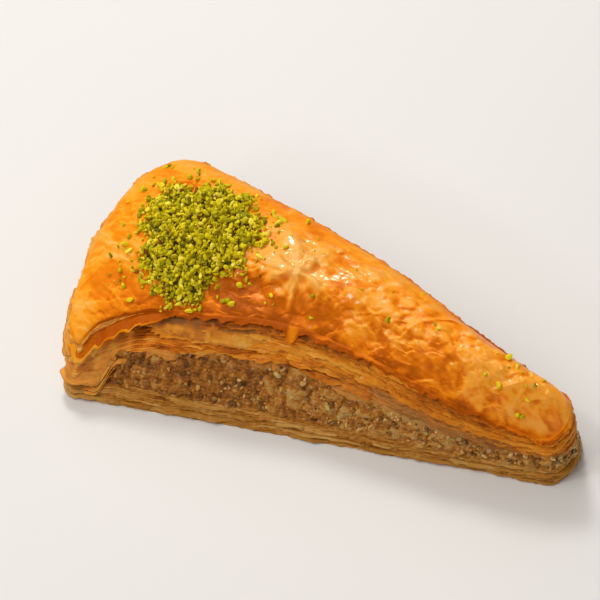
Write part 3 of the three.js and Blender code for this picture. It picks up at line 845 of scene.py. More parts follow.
CRUST_TONES = [
    (0.0, (0.98, 0.48, 0.11)),
    (0.13, (0.98, 0.405, 0.05)),
    (0.26, (1.0, 0.365, 0.018)),
    (0.4, (0.96, 0.285, 0.005)),
    (0.53, (0.85, 0.213, 0.002)),
    (0.67, (0.66, 0.145, 0.001)),
    (0.82, (0.44, 0.085, 0.0005)),
]
SHEET_TONES = [
    (0.0, (0.88, 0.46, 0.11)),
    (0.22, (0.92, 0.36, 0.03)),
    (0.45, (0.84, 0.245, 0.006)),
    (0.66, (0.60, 0.14, 0.001)),
    (0.84, (0.34, 0.066, 0.001)),
    (1.0, (0.15, 0.028, 0.001)),
]
DRY = (0.80, 0.44, 0.13, 1)
WARM_GLOSS = (1.0, 0.72, 0.4, 1)
BASE_TONES = [
    (0.0, (0.72, 0.40, 0.12)),
    (0.3, (0.56, 0.25, 0.045)),
    (0.6, (0.40, 0.15, 0.016)),
    (0.85, (0.24, 0.075, 0.006)),
    (1.0, (0.12, 0.034, 0.003)),
]


def pastry_look(name, tones, stretch, coat, contrast, glints, dry_share, grain):
    """Browned sheets under syrup: its coat, how much of it glints, and the relief's grain in mm."""
    look = Look(name)
    dryness = look.value("dryness")
    broad = look.noise(0.11, 3, stretch=stretch)
    fine = look.noise(0.75, 4, 0.6, stretch=stretch, shift=31)
    specks = look.noise(2.2, 2, 0.6, shift=77)
    pleats = look.noise(0.33, 3, 0.55, stretch=stretch, shift=53, noise_type="RIDGED_MULTIFRACTAL")
    noises = (broad, 0.9 * contrast), (fine, contrast), (specks, 0.3 * contrast)
    tone = look.varied(look.value("browning"), noises)
    rough = look.math("MULTIPLY_ADD", dryness, 0.1, 0.4)
    rough = look.math("MULTIPLY_ADD", fine, 0.12, rough)
    wet = look.math("MULTIPLY_ADD", look.math("SUBTRACT", broad, 0.5), 1.2, coat)
    wet = look.math("MULTIPLY", look.add("Clamp", {0: wet}), look.math("SUBTRACT", 1.0, dryness))
    wet = look.math("MULTIPLY", wet, look.between(tone, 0.38, 0.66, 1.0, 0.12))
    beads = look.between(specks, 0.5, 0.66, 1.0 - glints, 1.0)
    height = look.math("MULTIPLY_ADD", specks, 0.5, fine)
    syrup = look.bump(pleats, 0.05, 0.6)
    colour = look.mixed(look.math("MULTIPLY", dryness, dry_share), look.ramp(tone, tones), DRY)
    return look.finish(
        Base_Color=colour,
        Roughness=rough,
        Specular_IOR_Level=0.14,
        Specular_Tint=WARM_GLOSS,
        Coat_Weight=look.add("Clamp", {0: look.math("MULTIPLY", wet, beads)}),
        Coat_Roughness=0.09,
        Coat_Normal=look.bump(fine, 0.03, 0.5, syrup),
        Normal=look.bump(pleats, 0.7 * grain, 0.7, look.bump(height, grain, 0.8)),
        Subsurface_Weight=0.2,
        Subsurface_Radius=(1.0, 0.3, 0.05),
        Subsurface_Scale=2.0 * MM,
    )


FILLING_TONES = [
    (0.0, (0.09, 0.030, 0.003)),
    (0.25, (0.28, 0.088, 0.005)),
    (0.5, (0.46, 0.166, 0.014)),
    (0.7, (0.60, 0.30, 0.062)),
    (0.85, (0.42, 0.27, 0.07)),
    (1.0, (0.80, 0.56, 0.24)),
]


def filling_look():
    """Ground nuts soaked in syrup; 'browning' picks the tone."""
    look = Look("ground_filling")
    cells = look.add(
        "TexVoronoi", {"Vector": look.place, "Scale": 0.8, "Randomness": 1.0}, "Color"
    )
    pick = look.add("SeparateColor", {0: cells})
    fine = look.noise(1.3, 4, 0.6)
    streaks = look.noise(0.7, 4, 0.6, stretch=(0.3, 0.3, 2.2), shift=17)
    tone = look.varied(look.value("browning"), ((pick, 0.14), (fine, 0.5), (streaks, 0.25)))
    return look.finish(
        Base_Color=look.ramp(tone, FILLING_TONES),
        Roughness=look.math("MULTIPLY_ADD", fine, 0.3, 0.3),
        Specular_IOR_Level=0.15,
        Coat_Weight=look.between(fine, 0.52, 0.64, 0.05, 1.0),
        Coat_Roughness=0.07,
        Normal=look.bump(look.math("MULTIPLY_ADD", pick, 0.35, fine), 0.3, 0.9),
        Subsurface_Weight=0.15,
        Subsurface_Radius=(1.0, 0.4, 0.1),
        Subsurface_Scale=1.5 * MM,
    )


def nut_look(name, stops, roughness, coat):
    """Crushed nuts; 'tint' picks each grain's colour."""
    look = Look(name)
    fine = look.noise(1.8, 3, 0.6)
    tone = look.varied(look.value("tint"), [(fine, 0.2)])
    return look.finish(
        Base_Color=look.ramp(tone, stops),
        Roughness=look.math("MULTIPLY_ADD", fine, 0.2, roughness),
        Specular_IOR_Level=0.14,
        Coat_Weight=coat,
        Coat_Roughness=0.15,
        Normal=look.bump(fine, 0.12, 0.7),
        Subsurface_Weight=0.12,
        Subsurface_Radius=(0.6, 1.0, 0.1),
        Subsurface_Scale=1.0 * MM,
    )


PISTACHIO = [
    (0.0, (0.20, 0.05, 0.01)),
    (0.07, (0.34, 0.12, 0.02)),
    (0.12, (0.09, 0.075, 0.001)),
    (0.3, (0.26, 0.225, 0.001)),
    (0.6, (0.59, 0.49, 0.002)),
    (0.85, (0.82, 0.66, 0.008)),
    (1.0, (0.92, 0.76, 0.08)),
]
FILLING_NUTS = [
    (0.0, (0.14, 0.052, 0.006)),
    (0.3, (0.34, 0.15, 0.02)),
    (0.55, (0.58, 0.30, 0.06)),
    (0.8, (0.80, 0.52, 0.19)),
    (1.0, (0.52, 0.40, 0.10)),
]
CRUST = {"stretch": (0.45, 1, 1), "coat": 0.6, "glints": 0.2, "grain": 0.11}
SHEETS = {"stretch": (0.35, 0.35, 2.4), "coat": 0.5, "glints": 0.95, "grain": 0.18}
glazed_crust = pastry_look("glazed_crust", CRUST_TONES, contrast=0.28, dry_share=0.0, **CRUST)
flaky_sheets = pastry_look("flaky_sheets", SHEET_TONES, contrast=0.6, dry_share=0.5, **SHEETS)
soaked_sheets = pastry_look("soaked_sheets", BASE_TONES, contrast=0.5, dry_share=0.0, **SHEETS)
ground_filling = filling_look()
crushed_pistachio = nut_look("crushed_pistachio", PISTACHIO, roughness=0.5, coat=0.0)
filling_nuts = nut_look("filling_nuts", FILLING_NUTS, roughness=0.3, coat=0.6)


# ---------------------------------------------------------------- the crust


def flap_share(flank):
    """1 along the lifted flap of the rim on the near side, and 0 away from it."""
    outside, inside = FLAP["outside"], FLAP["inside"]
    begun = smooth(flank.x, FLAP["from"] - outside, FLAP["from"] + inside)
    return begun * (1 - smooth(flank.x, FLAP["to"] - inside, FLAP["to"] + outside)) * flank.near


# How far a surface faces the light direction, used for painted shade and light on the crust.
def painted_light_facing(surface):
    normal = np.cross(np.gradient(surface, axis=0), np.gradient(surface, axis=1))
    normal /= np.linalg.norm(normal, axis=-1)[..., None]
    return normal @ [PAINTED_LIGHT_FACING["x"], PAINTED_LIGHT_FACING["y"], PAINTED_LIGHT_FACING["z"]]


def soft_above(value, limit):
    """The value, bent gently where it comes near a limit, so that it stays above it."""
    return limit + SOFT_BEND * np.log1p(np.exp((value - limit) / SOFT_BEND))


def crust_tone_and_painted_light(x, y, t, fine, turned):
    """How brown the crust is from spots and streaks, with painted shade from its relief, its facing
    and the heap, and painted sheen round the star.
    """
    across = y / half_width(x)
    # Paler on raised relief and browner in its hollows, partly from syrup pooling there and partly
    # as painted shade; 'turned' is painted shade from the way the crust faces the light.
    browning = 0.38 - 0.26 * fine + turned + 0.26 * spots.layered(x * 0.06, y * 0.1, 30)
    flecks = spots.layered(x * 0.16 + 0.05 * y, y * 0.27, 63)
    browning += 0.5 * flecks * (1 - smooth(across, 0.2, 0.6)) * smooth(x, -36, -16)
    streaks = spots.layered(x * 0.32 + 0.1 * y, y * 0.7, 68)
    browning += mix(0.15, 0.5, smooth(x, 0, 45) * smooth(across, 0.5, 0.1)) * streaks
    star, near_edge, far_edge = star_zone(x, y), bell(t / 0.07), bell((1 - t) / 0.06)
    browning += 0.1 * star - 0.06 * torn_sheets(x, y)[1] + 0.16 * near_edge + 0.06 * far_edge
    # Darker amber and paler patches, with painted shade beside the heap and painted sheen round the
    # star.
    browning += at_places(x, y, BROWN_AND_PAINTED_LIGHT_PLACES)
    dry = crust_dryness(x, y)
    palest = mix(TONE_LIMITS["glazed"], TONE_LIMITS["dry"], np.maximum(dry, star))
    # Painted shade beside the heap may get darker still.
    darkest = TONE_LIMITS["darkest"] + at_places(x, y, [PAINTED_SHADE_DARKEST_PLACE])
    darkest += TONE_LIMITS["near_edge"] * near_edge
    browning = -soft_above(-browning, -darkest)
    return soft_above(browning, palest) - 0.1 * dry


def crust_drop(flank, height):
    """How far the rim hangs down the sides, and 1 where it drips."""
    ragged, flap = flank.wave(0.4, 5), flap_share(flank)
    torn = flank.wave(0.95, 6) * (1 - 0.8 * flap)
    drop = RIM["drop"] + RIM["slow"] * flank.wave(0.11, 2)
    drop += RIM["ragged"] * ragged + RIM["torn"] * torn + RIM["tip"] * smooth(flank.s, 0.9, 1)
    hanging = RIM["wide_end"] + 2.5 * edges(flank.y * 0.08, flank.x * 0.08, 44) + 1.2 * ragged
    drop = np.clip(drop, 0.5, None) + FLAP["drop"] * flap + hanging * flank.at_end
    drip = np.exp(-(np.abs((flank.x - DRIP["x"]) / DRIP["half"]) ** 2.6)) * flank.near
    return np.minimum(drop + DRIP["drop"] * drip, height - 8), drip


def crust_rim(flank, height, browning, dry):
    """The rows that hang from the crust's edge and close it underneath, with their values."""
    drop, drip = crust_drop(flank, height)
    flap = flap_share(flank)
    lift = np.clip(0.25 + 0.55 * flank.wave(0.2, 7) + 0.3 * flank.wave(0.95, 6), -0.1, 1.2)
    crinkle = 0.7 * flank.wave(0.35, 12) * flank.at_end
    rows, tones = [], []
    for share in RIM_ROWS:
        wave = 0.5 * flank.wave(0.35, 15 + 1.5 * share) + 0.25 * flank.wave(0.9, 25 + 2.5 * share)
        wave = wave * (1 - 0.6 * flap)
        out = 0.95 * share**0.35 + lift * share**2 + (crinkle + wave) * share
        out += flap * (FLAP["lift"] * share**3 - 1.1 * math.sin(math.pi * share))
        out += 0.4 * drip * math.sqrt(share)
        rows.append(flank.point(height - drop * share, out))
        darker = 0.34 * share * (1 - 0.9 * flank.at_end)
        darker = mix(darker, 0.4 * math.sin(math.pi * min(share, 0.95)), flap)
        darker += 0.4 * flank.wave(0.13, 40 + 3 * share) - 0.12 * smooth(share, 0.8, 1) - 0.2 * wave
        tones.append(mix(browning + darker, 0.46, drip))
    rows.append(flank.point(height - drop * 1.02, out - RIM_THICKNESS))
    rows.append(flank.point(height - drop * 0.5, out - RIM_THICKNESS - 1.0))
    rows.append(flank.point(height - 0.9, -2.8))
    dryness = [np.maximum(dry, 0.85)] * len(tones) + [np.maximum(dry, 0.8)] * 3
    return rows, tones + [browning + 0.4] * 3, dryness


def make_crust():
    """The glazed crust: its top, the rim that hangs from it, and a closed underside."""
    s, t = np.meshgrid(spread(CRUST_ROWS), spread(CRUST_COLUMNS), indexing="ij")
    top, fine = crust_surface(s, t)
    x, y, z = top[..., 0], top[..., 1], top[..., 2]
    of_form, of_relief = painted_light_facing(crust_point(s, t)), painted_light_facing(top)
    # Painted shade: browner where the form and above all the relief turn away from the light.
    turned = PAINTED_LIGHT_FACING["form"] * (0.86 - of_form) + PAINTED_LIGHT_FACING["relief"] * (of_form - of_relief)
    browning = crust_tone_and_painted_light(x, y, t, fine, turned)
    dry = np.maximum(crust_dryness(x, y), 0.85 * (1 - smooth(t, 0.02, 0.1)))
    dry = dry + at_places(x, y, [SYRUP_PLACE])
    index = np.arange(s.size).reshape(s.shape)
    edge = grid_rim(index)
    count = len(edge)
    blur = np.ones(RIM_BLUR) / RIM_BLUR
    evened = np.convolve(np.tile(browning.ravel()[edge], 3), blur, "same")[count:-count]
    flank = Flank(s.ravel()[edge], t.ravel()[edge])
    rows, tones, dryness = crust_rim(flank, z.ravel()[edge], evened, dry.ravel()[edge])
    inside = top.reshape(-1, 3).mean(0) - [0, 0, 9]
    points = np.concatenate([top.reshape(-1, 3), *rows, [inside]])
    below = s.size + np.arange(len(rows) * count).reshape(-1, count)
    faces = [quads(index), quads(np.concatenate([[edge], below]), closed=True)]
    faces.append(fan_faces(below[-1], len(points) - 1, False))
    browning = np.concatenate([browning.ravel(), *tones, [0.6]])
    dryness = np.concatenate([dry.ravel(), *dryness, [0.5]])
    shape = Shape()
    shape.add(points, faces, browning=browning, dryness=dryness)
    return shape.build("crust", glazed_crust, "top_pastry")


# ---------------------------------------------------------------- the flaky sheets


def under_flap(flank, height):
    """1 in the hollow under the flap's lower edge, and 0 away from it; it shapes that hollow and
    lays painted shade in it.
    """
    below = flank.top - RIM["drop"] - FLAP["drop"] - height
    return flap_share(flank) * smooth(below, -1.2, 0.3) * (1 - 0.8 * smooth(below, 1, 8))


def stack_low(flank):
    """The lowest height of the upper sheets: over the filling, or down to the base in the fold."""
    in_fold = 1 - smooth(flank.s, 0.8 * FOLD_END, 1.5 * FOLD_END)
    return mix(filling_top(flank.s), BASE_TOP, in_fold) + LAYER_GAP


def on_cut_side(ring):
    """True along the cut sides, apart from the flap and the sheets folded over the wide end."""
    return (ring.s > 1.6 * FOLD_END) & (flap_share(ring) < 0.5)


def painted_shade_foot(flank, height):
    """1 low on the near side towards the tip, where painted shade makes the sheets dark, grey and
    dull.
    """
    return smooth(flank.x, -5, 45) * smooth(flank.top - height, 5, 10) * flank.near


def side_tone_and_shade(flank, height):
    """Browning of the cut sides, which show the sheets' edges, with painted shade under the rim and
    low on the near side towards the tip.
    """
    below = flank.top - height
    # A dark amber band under the rim: partly glazed sheets, partly painted shade in the hollow
    # there.
    band = SIDE_BAND_AND_SHADE["amount"] * bell((below - SIDE_BAND_AND_SHADE["depth"]) / SIDE_BAND_AND_SHADE["reach"])
    band = band * mix(0.5, 1, flank.near) * (1 - 0.5 * smooth(flank.x, 0, 30))
    pale = SIDE_PALE["amount"] * bell((below - SIDE_PALE["depth"]) / SIDE_PALE["reach"])
    pale = pale * (1 - 1.2 * smooth(flank.x, -5, 25))
    deep = SIDE_DEEP["amount"] * smooth(below, SIDE_DEEP["from"], SIDE_DEEP["to"])
    # Painted shade low on the near side towards the tip.
    deep = deep + 0.31 * painted_shade_foot(flank, height)
    return mix(0.5 + band - pale + deep, 0.45, flank.at_end)


def sheet_edges(flank, depth, spacing, seed):
    """How far the edges of thin sheets stand out at a depth, and how much browner they are."""
    sag = 1.1 * flank.wave(0.05, seed + 1) + 0.5 * flank.wave(0.2, seed + 2)
    place = (depth + sag) / spacing
    sheet = np.floor(place)
    groove = np.abs(2 * (place - sheet) - 1) ** 3
    reach = flank.wave(0.12, seed + 3.7 * sheet)
    frayed = flank.wave(0.75, seed + 5.3 * sheet)
    out = (1 - groove) * np.clip(0.3 + 0.6 * reach + 0.4 * frayed, -0.3, 1.2)
    # The grooves between sheets are browner, partly from syrup in them and partly as painted shade.
    tone = 0.38 * flank.wave(0.07, seed + 9.1 * sheet) + 0.3 * groove - 0.16 * frayed
    return out, tone


def draped_end(flank, height):
    """The crumpled sheets folded down over the wide end: how far they stand out, and their tone."""
    x, y = flank.x, flank.y
    round_end = y * 0.2 - x * 0.2
    broad = folds(round_end * 0.4 + 50, height * 0.12)
    puff = puffed(creases, round_end * 0.5 + 0.4 * broad, height * 0.16, 52)
    out = 0.2 + 0.9 * broad + 1.5 * (puff - 0.5)
    for number in range(3):
        field = spots(round_end * 0.25 + 9 * number, height * 0.15 + 30 * number)
        field += 0.2 * spots(round_end * 1.5, height * 0.4 + 9 * number)
        out += 0.5 * smooth(field, -0.02, 0.02)
    at_corner = bell(flank.t / 0.22)
    out += at_corner * 1.4 * (creases.ridge(round_end * 1.1, height * 0.07, 61, 3) - 0.5)
    out += 0.5 * creases.ridge(round_end * 0.9, height * 0.3, 64, 8)
    out += at_corner * 0.9 * (puffed(creases, x * 0.3, y * 0.3, height * 0.34 + 77) - 0.5)
    at_foot = np.maximum(1 - smooth(height, 11, 20), 0.5 * at_corner)
    reach, tone = sheet_edges(flank, height, 0.9, 480)
    # Paler where the folds stand out and browner where they sink in, as painted shade.
    tone = 0.46 - 0.26 * (out - 0.8) + 0.6 * tone
    return out * (1 - 0.6 * at_foot) + 1.1 * at_foot * reach, tone


def recess(flank, height):
    """1 in the hollow line below the crust's rim."""
    wave = flank.wave(0.07, 401)
    away = (flank.top - height - RECESS["below"] - wave) / RECESS["reach"]
    return bell(away) * np.clip(0.75 + 0.6 * wave, 0, 1) * (1 - flank.at_end)


def make_upper_stack():
    """The stack of sheets under the crust, which folds down over the wide end."""
    flank = Flank(*outline(RING_STEPS))
    low, high = stack_low(flank), flank.top - 1.0
    loops, browning, dryness = [], [], []
    towards_tip = 0.35 * smooth(flank.x, -5, 20) * flank.near
    draped = flank.at_end * (1 - 0.6 * smooth(flank.s, 0, 0.5 * FOLD_END))
    for level in np.linspace(0, 1, STACK_ROWS):
        height = mix(low, high, level)
        out, tone = sheet_edges(flank, high - height, SHEET_SPACING, 0)
        hollow = recess(flank, height)
        out = out - 0.35 - hollow * mix(RECESS["far"], RECESS["near"], flank.near)
        below = under_flap(flank, height)
        pleats = creases.ridge(flank.x * 0.16, height * 0.05, 33, 3)
        out = out - below * FLAP["hollow"] * (1 - 0.5 * pleats)
        drape, drape_tone = draped_end(flank, height)
        loops.append(flank.point(height, mix(out, drape, draped) if 0 < level < 1 else -3.6))
        # Painted shade darkens the hollow under the flap, less on the pleats' ridges.
        tone = side_tone_and_shade(flank, height) + tone + below * (0.42 - 0.34 * pleats)
        deep = flank.top - height
        golden = flap_share(flank) * smooth(deep, 6.5, 9) * (1 - smooth(deep, 12, 15))
        tone -= golden * (0.1 + 0.3 * pleats)
        browning.append(mix(tone, drape_tone, draped))
        # Painted shade greys the sheets low on the near side towards the tip.
        dryness.append(0.1 + 0.6 * flank.at_end + towards_tip + 0.4 * painted_shade_foot(flank, height))
    shape = Shape()
    block(shape, loops, browning=np.array(browning), dryness=np.array(dryness))
    return shape.build("upper_stack", flaky_sheets, "top_pastry")


def make_upper_sheets():
    """Scraps of sheets that stand off from the stack."""
    ring = Flank(*outline(SCRAP_STEPS))
    low, high = stack_low(ring), ring.top - 0.8
    shape = Shape()
    for kind, lowest, where in (
        ("thin", low, on_cut_side(ring)),
        ("loose", low, on_cut_side(ring)),
        ("over_filling", low + 0.4, on_cut_side(ring)),
        ("torn", low, ring.at_end > 0.9),
        ("foot", low - 4, ring.at_end > 0.7),
    ):
        scatter_scraps(shape, ring, kind, (lowest, high), where, side_tone_and_shade)
    return shape.build("upper_sheets", flaky_sheets, "top_pastry")


# The apron's tone: darker just under the rim as painted shade of the rim, paler lower down, with
# streaks.
def apron_tone_and_shade(flank, height):
    streaks = edges(flank.x * 0.06, height * 1.1, 90)
    streaks += 0.6 * edges(flank.x * 0.15, height * 2.4, 95)
    return mix(0.46, 0.78, smooth(flank.top - height, 7, 2)) + 0.6 * streaks


def make_crust_scraps():
    """The sheets that end in steps below the rim, and the apron beside the flap."""
    ring = Flank(*outline(SCRAP_STEPS))
    shape = Shape()
    span = stack_low(ring), ring.top - 0.8
    scatter_scraps(shape, ring, "below_rim", span, on_cut_side(ring), side_tone_and_shade)
    picks = np.flatnonzero((ring.t < 0.01) & (ring.x > APRON["from"]) & (ring.x < APRON["to"]))[::4]
    apron = Flank(ring.s[picks], ring.t[picks], closed=False)
    ragged = 0.8 * edges(apron.x * 0.12, 3, 31) + 0.4 * edges(apron.x * 0.7, 5, 32)
    edge = np.minimum(APRON["edge"] + ragged, apron.top - 3)
    root = apron.top - 1.6
    scrap(shape, apron, root, edge, APRON["lift"], apron_tone_and_shade, 330, 0.35, pleats=0.3)
    return shape.build("crust_scraps", flaky_sheets, "top_pastry")


# ---------------------------------------------------------------- the base


def make_base():
    """The soaked sheets under the filling, with their scraps."""
    flank = Flank(*outline(RING_STEPS))
    loops, browning = [], []
    for level in np.linspace(0, 1, BASE_ROWS):
        height = np.full_like(flank.s, level * BASE_TOP)
        out, tone = sheet_edges(flank, height, BASE_SPACING, 300)
        loops.append(flank.point(height, 1.1 * out - 0.5 if 0 < level < 1 else -1.2))
        browning.append(BASE_BROWNING + 1.2 * tone)
    shape = Shape()
    block(shape, loops, browning=np.array(browning), dryness=0.1)
    ring = Flank(*outline(SCRAP_STEPS))
    span = np.full_like(ring.s, 0.8), np.full_like(ring.s, BASE_TOP)
    scatter_scraps(shape, ring, "base", span, ring.s >= 0, lambda *at: BASE_BROWNING)
    return shape.build("bottom_sheets", soaked_sheets, "bottom_pastry")


# ---------------------------------------------------------------- the filling


def make_filling():
    """The ground filling, lumpy and streaked where it shows at the sides."""
    flank = Flank(*outline(FILLING_STEPS, FILLING_START))
    low, high = BASE_TOP - 0.6, filling_top(flank.s) + 0.6
    loops, browning = [], []
    x, y = flank.x, flank.y
    for level in np.linspace(0, 1, FILLING_ROWS):
        height = mix(low, high, level)
        lumps = puffed(grit, x * 0.22, y * 0.22, height * 0.3)
        crumbs = puffed(grit, x * 0.9, y * 0.9, height * 0.9 + 60, 2)
        streaks, tone = sheet_edges(flank, height, 1.0, 420)
        below = under_flap(flank, height)
        out = -1.0 + 1.5 * lumps + 0.5 * crumbs + 0.45 * streaks - FLAP["hollow"] * below
        loops.append(flank.point(height, out if 0 < level < 1 else -3.0))
        grey = 0.18 * smooth(x, -30, 20) - 0.07 * (1 - smooth(x, -45, 0))
        grey += 0.3 * spots.layered(x * 0.14, height * 0.2, 9)
        # Painted shade darkens the filling in the hollow under the flap.
        browning.append(0.08 + grey + 0.4 * lumps + 0.36 * crumbs - 0.4 * tone + 0.2 * below)
    shape = Shape()
    block(shape, loops, browning=np.array(browning))
    return shape.build("filling", ground_filling, "pistachio_filling")


def make_filling_nuts():
    """Nut pieces half sunk in the filling's sides."""
    source = np.random.RandomState(41)
    flank = Flank(*outline(NUT_STEPS, FILLING_START))
    shown = np.flatnonzero(flank.s > FILLING_START + 0.005)
    shape = Shape()
    for _ in range(NUT_TRIES):
        k = source.choice(shown)
        if source.rand() > mix(0.35, 1, smooth(flank.x[k], -55, -5)):
            continue
        height = mix(BASE_TOP + 0.3, filling_top(flank.s[k]), source.rand())
        radius = mix(*NUT_RADIUS, source.rand() ** 2)
        place = flank.ground[k] + flank.rise[k] * height / flank.top[k]
        outward = np.array([0, np.sign(place[1]), 0])
        hollow = FLAP["hollow"] * under_flap(flank, height)[k]
        points, faces = chunk(source, "fine" if radius > FINE_GRAIN["nut"] else "coarse")
        place = place + outward * (-0.3 - hollow)
        paler = mix(0.6, 1, smooth(flank.x[k], -50, 0))
        shape.add(place + points * radius, [faces], tint=paler * source.rand() ** 1.3)
    return shape.build(
        "filling_nuts", filling_nuts, "pistachio_filling", is_smooth=False
    )


# ---------------------------------------------------------------- the pistachio heap


def heap_lobes(angle):
    """The heap's uneven outline; it is notched towards the near side and the tip."""
    from_notch = np.mod(angle + 0.9 + HEAP["turn"] + np.pi, 2 * np.pi) - np.pi
    lobes = 1 - 0.32 * bell(from_notch / 0.3)
    for size, count, turn in ((0.07, 3, 0.6), (0.07, 5, 2.1), (0.07, 9, 1.3), (0.05, 14, 4)):
        lobes = lobes + size * np.sin(count * angle + turn)
    return lobes


def heap_place(share, angle):
    reach = share * heap_lobes(angle)
    along = HEAP["along"] * reach * np.cos(angle)
    across = HEAP["across"] * reach * np.sin(angle)
    x = HEAP["x"] + along * math.cos(HEAP["turn"]) - across * math.sin(HEAP["turn"])
    y = HEAP["y"] + along * math.sin(HEAP["turn"]) + across * math.cos(HEAP["turn"])
    return x, y


def heap_share(x, y):
    """0 in the heap's middle and 1 at its rim."""
    dx, dy = x - HEAP["x"], y - HEAP["y"]
    along = (dx * math.cos(HEAP["turn"]) + dy * math.sin(HEAP["turn"])) / HEAP["along"]
    across = (dy * math.cos(HEAP["turn"]) - dx * math.sin(HEAP["turn"])) / HEAP["across"]
    return np.hypot(along, across) / heap_lobes(np.arctan2(across, along))


def core_depth(x, y):
    """How high the heap's core stands over the crust."""
    share = heap_share(x, y)
    lumps = 1.7 * grit(x * 0.24, y * 0.24, 90) + 0.7 * grit(x * 0.6, y * 0.6, 95)
    height = CORE_HEIGHT * np.clip(1 - share**2, 0, 1) ** 0.7
    return height + lumps * np.clip(1.1 - share, 0, 1) ** 0.5 - 0.4


def make_heap_core():
    """The lumpy core of the heap, which fills the gaps between its grains and is coloured dark as
    painted shade in them.
    """
    shares = np.linspace(0, CORE_SHARE, CORE_RINGS + 1)[1:]
    angles = np.linspace(0, 2 * np.pi, CORE_SPOKES, endpoint=False)
    x, y = heap_place(*np.meshgrid(shares, angles, indexing="ij"))
    ground = crust_height(x, y)
    top = np.stack([x, y, ground + core_depth(x, y)], -1)
    foot = np.stack([x[-1], y[-1], ground[-1] - 1.0], -1)
    middle = np.array([[*heap_place(0.0, 0.0), 0.0]])
    middle[0, 2] = crust_height(middle[:, 0], middle[:, 1])[0] + core_depth(*middle[0, :2])
    points = np.concatenate([top.reshape(-1, 3), foot, middle, middle - [0, 0, 4.5]])
    index = np.arange((CORE_RINGS + 1) * CORE_SPOKES).reshape(-1, CORE_SPOKES)
    faces = [quads(index, closed=True), fan_faces(index[0], index.size, True)]
    faces.append(fan_faces(index[-1], index.size + 1, False))
    shape = Shape()
    # A dark olive tint: painted shade in the gaps between grains.
    shape.add(points, faces, tint=0.17)
    return shape.build("heap_core", crushed_pistachio, "pistachio_topping")


def grain_tint(source):
    """Most grains are bright green, some dark, and a few keep their purple-brown skin."""
    if source.rand() < 0.025:
        return source.uniform(0.0, 0.08)
    return np.clip(source.normal(0.64, 0.2), 0.16, 0.98)


def make_heap_grains():
    """The heap's grains, each seated on what already lies at its place."""
    source = np.random.RandomState(77)
    cell, reach = 0.4, 30
    size = int(2 * reach / cell)
    grid = (np.arange(size) + 0.5) * cell - reach
    gx, gy = np.meshgrid(HEAP["x"] + grid, HEAP["y"] + grid, indexing="ij")
    crust = crust_height(gx, gy)
    surface = crust + np.clip(core_depth(gx, gy), 0, None)
    limit = crust + HEAP_HEIGHT * np.clip(1.15 - heap_share(gx, gy) ** 2, 0.15, 1) ** 0.7
    top = cad_box[1][2] / MM + HEAP["proud"]
    shape = Shape()
    made = 0
    while made < HEAP_GRAINS:
        share = HEAP_REACH * math.sqrt(source.rand())
        if source.rand() < smooth(share, 0.78, HEAP_REACH) * 0.9:
            continue
        x, y = heap_place(share, source.uniform(0, 2 * np.pi))
        radius = mix(*GRAIN_RADIUS, source.rand() ** 1.4)
        i = int((x - HEAP["x"] + reach) / cell)
        j = int((y - HEAP["y"] + reach) / cell)
        n = max(1, int(radius * 0.6 / cell))
        window = (slice(i - n, i + n + 1), slice(j - n, j + n + 1))
        seat = np.median(surface[window])
        if seat > min(limit[i, j], top - radius):
            continue
        points, faces = chunk(source, "fine" if radius > FINE_GRAIN["heap"] else "coarse", 1.6)
        place = np.array([x, y, seat + 0.35 * radius])
        shape.add(place + points * radius, [faces], tint=grain_tint(source))
        surface[window] = np.maximum(surface[window], place[2] + 0.3 * radius)
        made += 1
    return shape.build(
        "heap_grains", crushed_pistachio, "pistachio_topping", is_smooth=False
    )


def make_stray_grains():
    """Grains beside the heap, singly and in clumps, along the crust and towards the tip."""
    source = np.random.RandomState(83)
    angle = source.uniform(0, 2 * np.pi, STRAYS["rim"])
    x, y = heap_place(0.98 + 0.85 * source.rand(STRAYS["rim"]) ** 2, angle)
    clump_x, clump_y = heap_place(
        source.uniform(1.05, 1.6, STRAYS["clumps"]), source.uniform(0, 2 * np.pi, STRAYS["clumps"])
    )
    apart = source.normal(0, 1.1, (2, STRAYS["clumps"], STRAYS["in_clump"]))
    x = np.concatenate([x, (clump_x[:, None] + apart[0]).ravel()])
    y = np.concatenate([y, (clump_y[:, None] + apart[1]).ravel()])
    far_x = source.uniform(-20, 72, STRAYS["far"])
    far_y = source.uniform(-0.7, 0.7, STRAYS["far"]) * half_width(far_x) + 3
    tip_x = source.uniform(56, 75, STRAYS["at_tip"])
    tip_y = source.uniform(-0.7, 0.7, STRAYS["at_tip"]) * half_width(tip_x) + 3
    x, y = np.concatenate([x, far_x, tip_x]), np.concatenate([y, far_y, tip_y])
    s, t = crust_place(x, y)
    on_crust = (t > 0.03) & (t < 0.97) & (s > 0.015) & (s < 0.975)
    height = crust_height(x, y)
    shape = Shape()
    for k in np.flatnonzero(on_crust):
        radius = mix(*STRAY_RADIUS, source.rand() ** 1.8)
        points, faces = chunk(source, "fine" if radius > FINE_GRAIN["stray"] else "coarse")
        place = np.array([x[k], y[k], height[k] + 0.35 * radius])
        shape.add(place + points * radius, [faces], tint=grain_tint(source))
    return shape.build(
        "stray_grains", crushed_pistachio, "top_pastry", is_smooth=False
    )


make_crust()
make_upper_stack()
make_upper_sheets()
make_crust_scraps()
make_base()
make_filling()
make_filling_nuts()
make_heap_core()
make_heap_grains()
make_stray_grains()


# ---------------------------------------------------------------- stage, light and camera


CAMERA = {"azimuth": 35.86, "elevation": 54.42, "roll": -10.62, "distance": 1180, "lens": 238.1}
CAMERA_AIM = (-14.6, 10.2, 20.0)
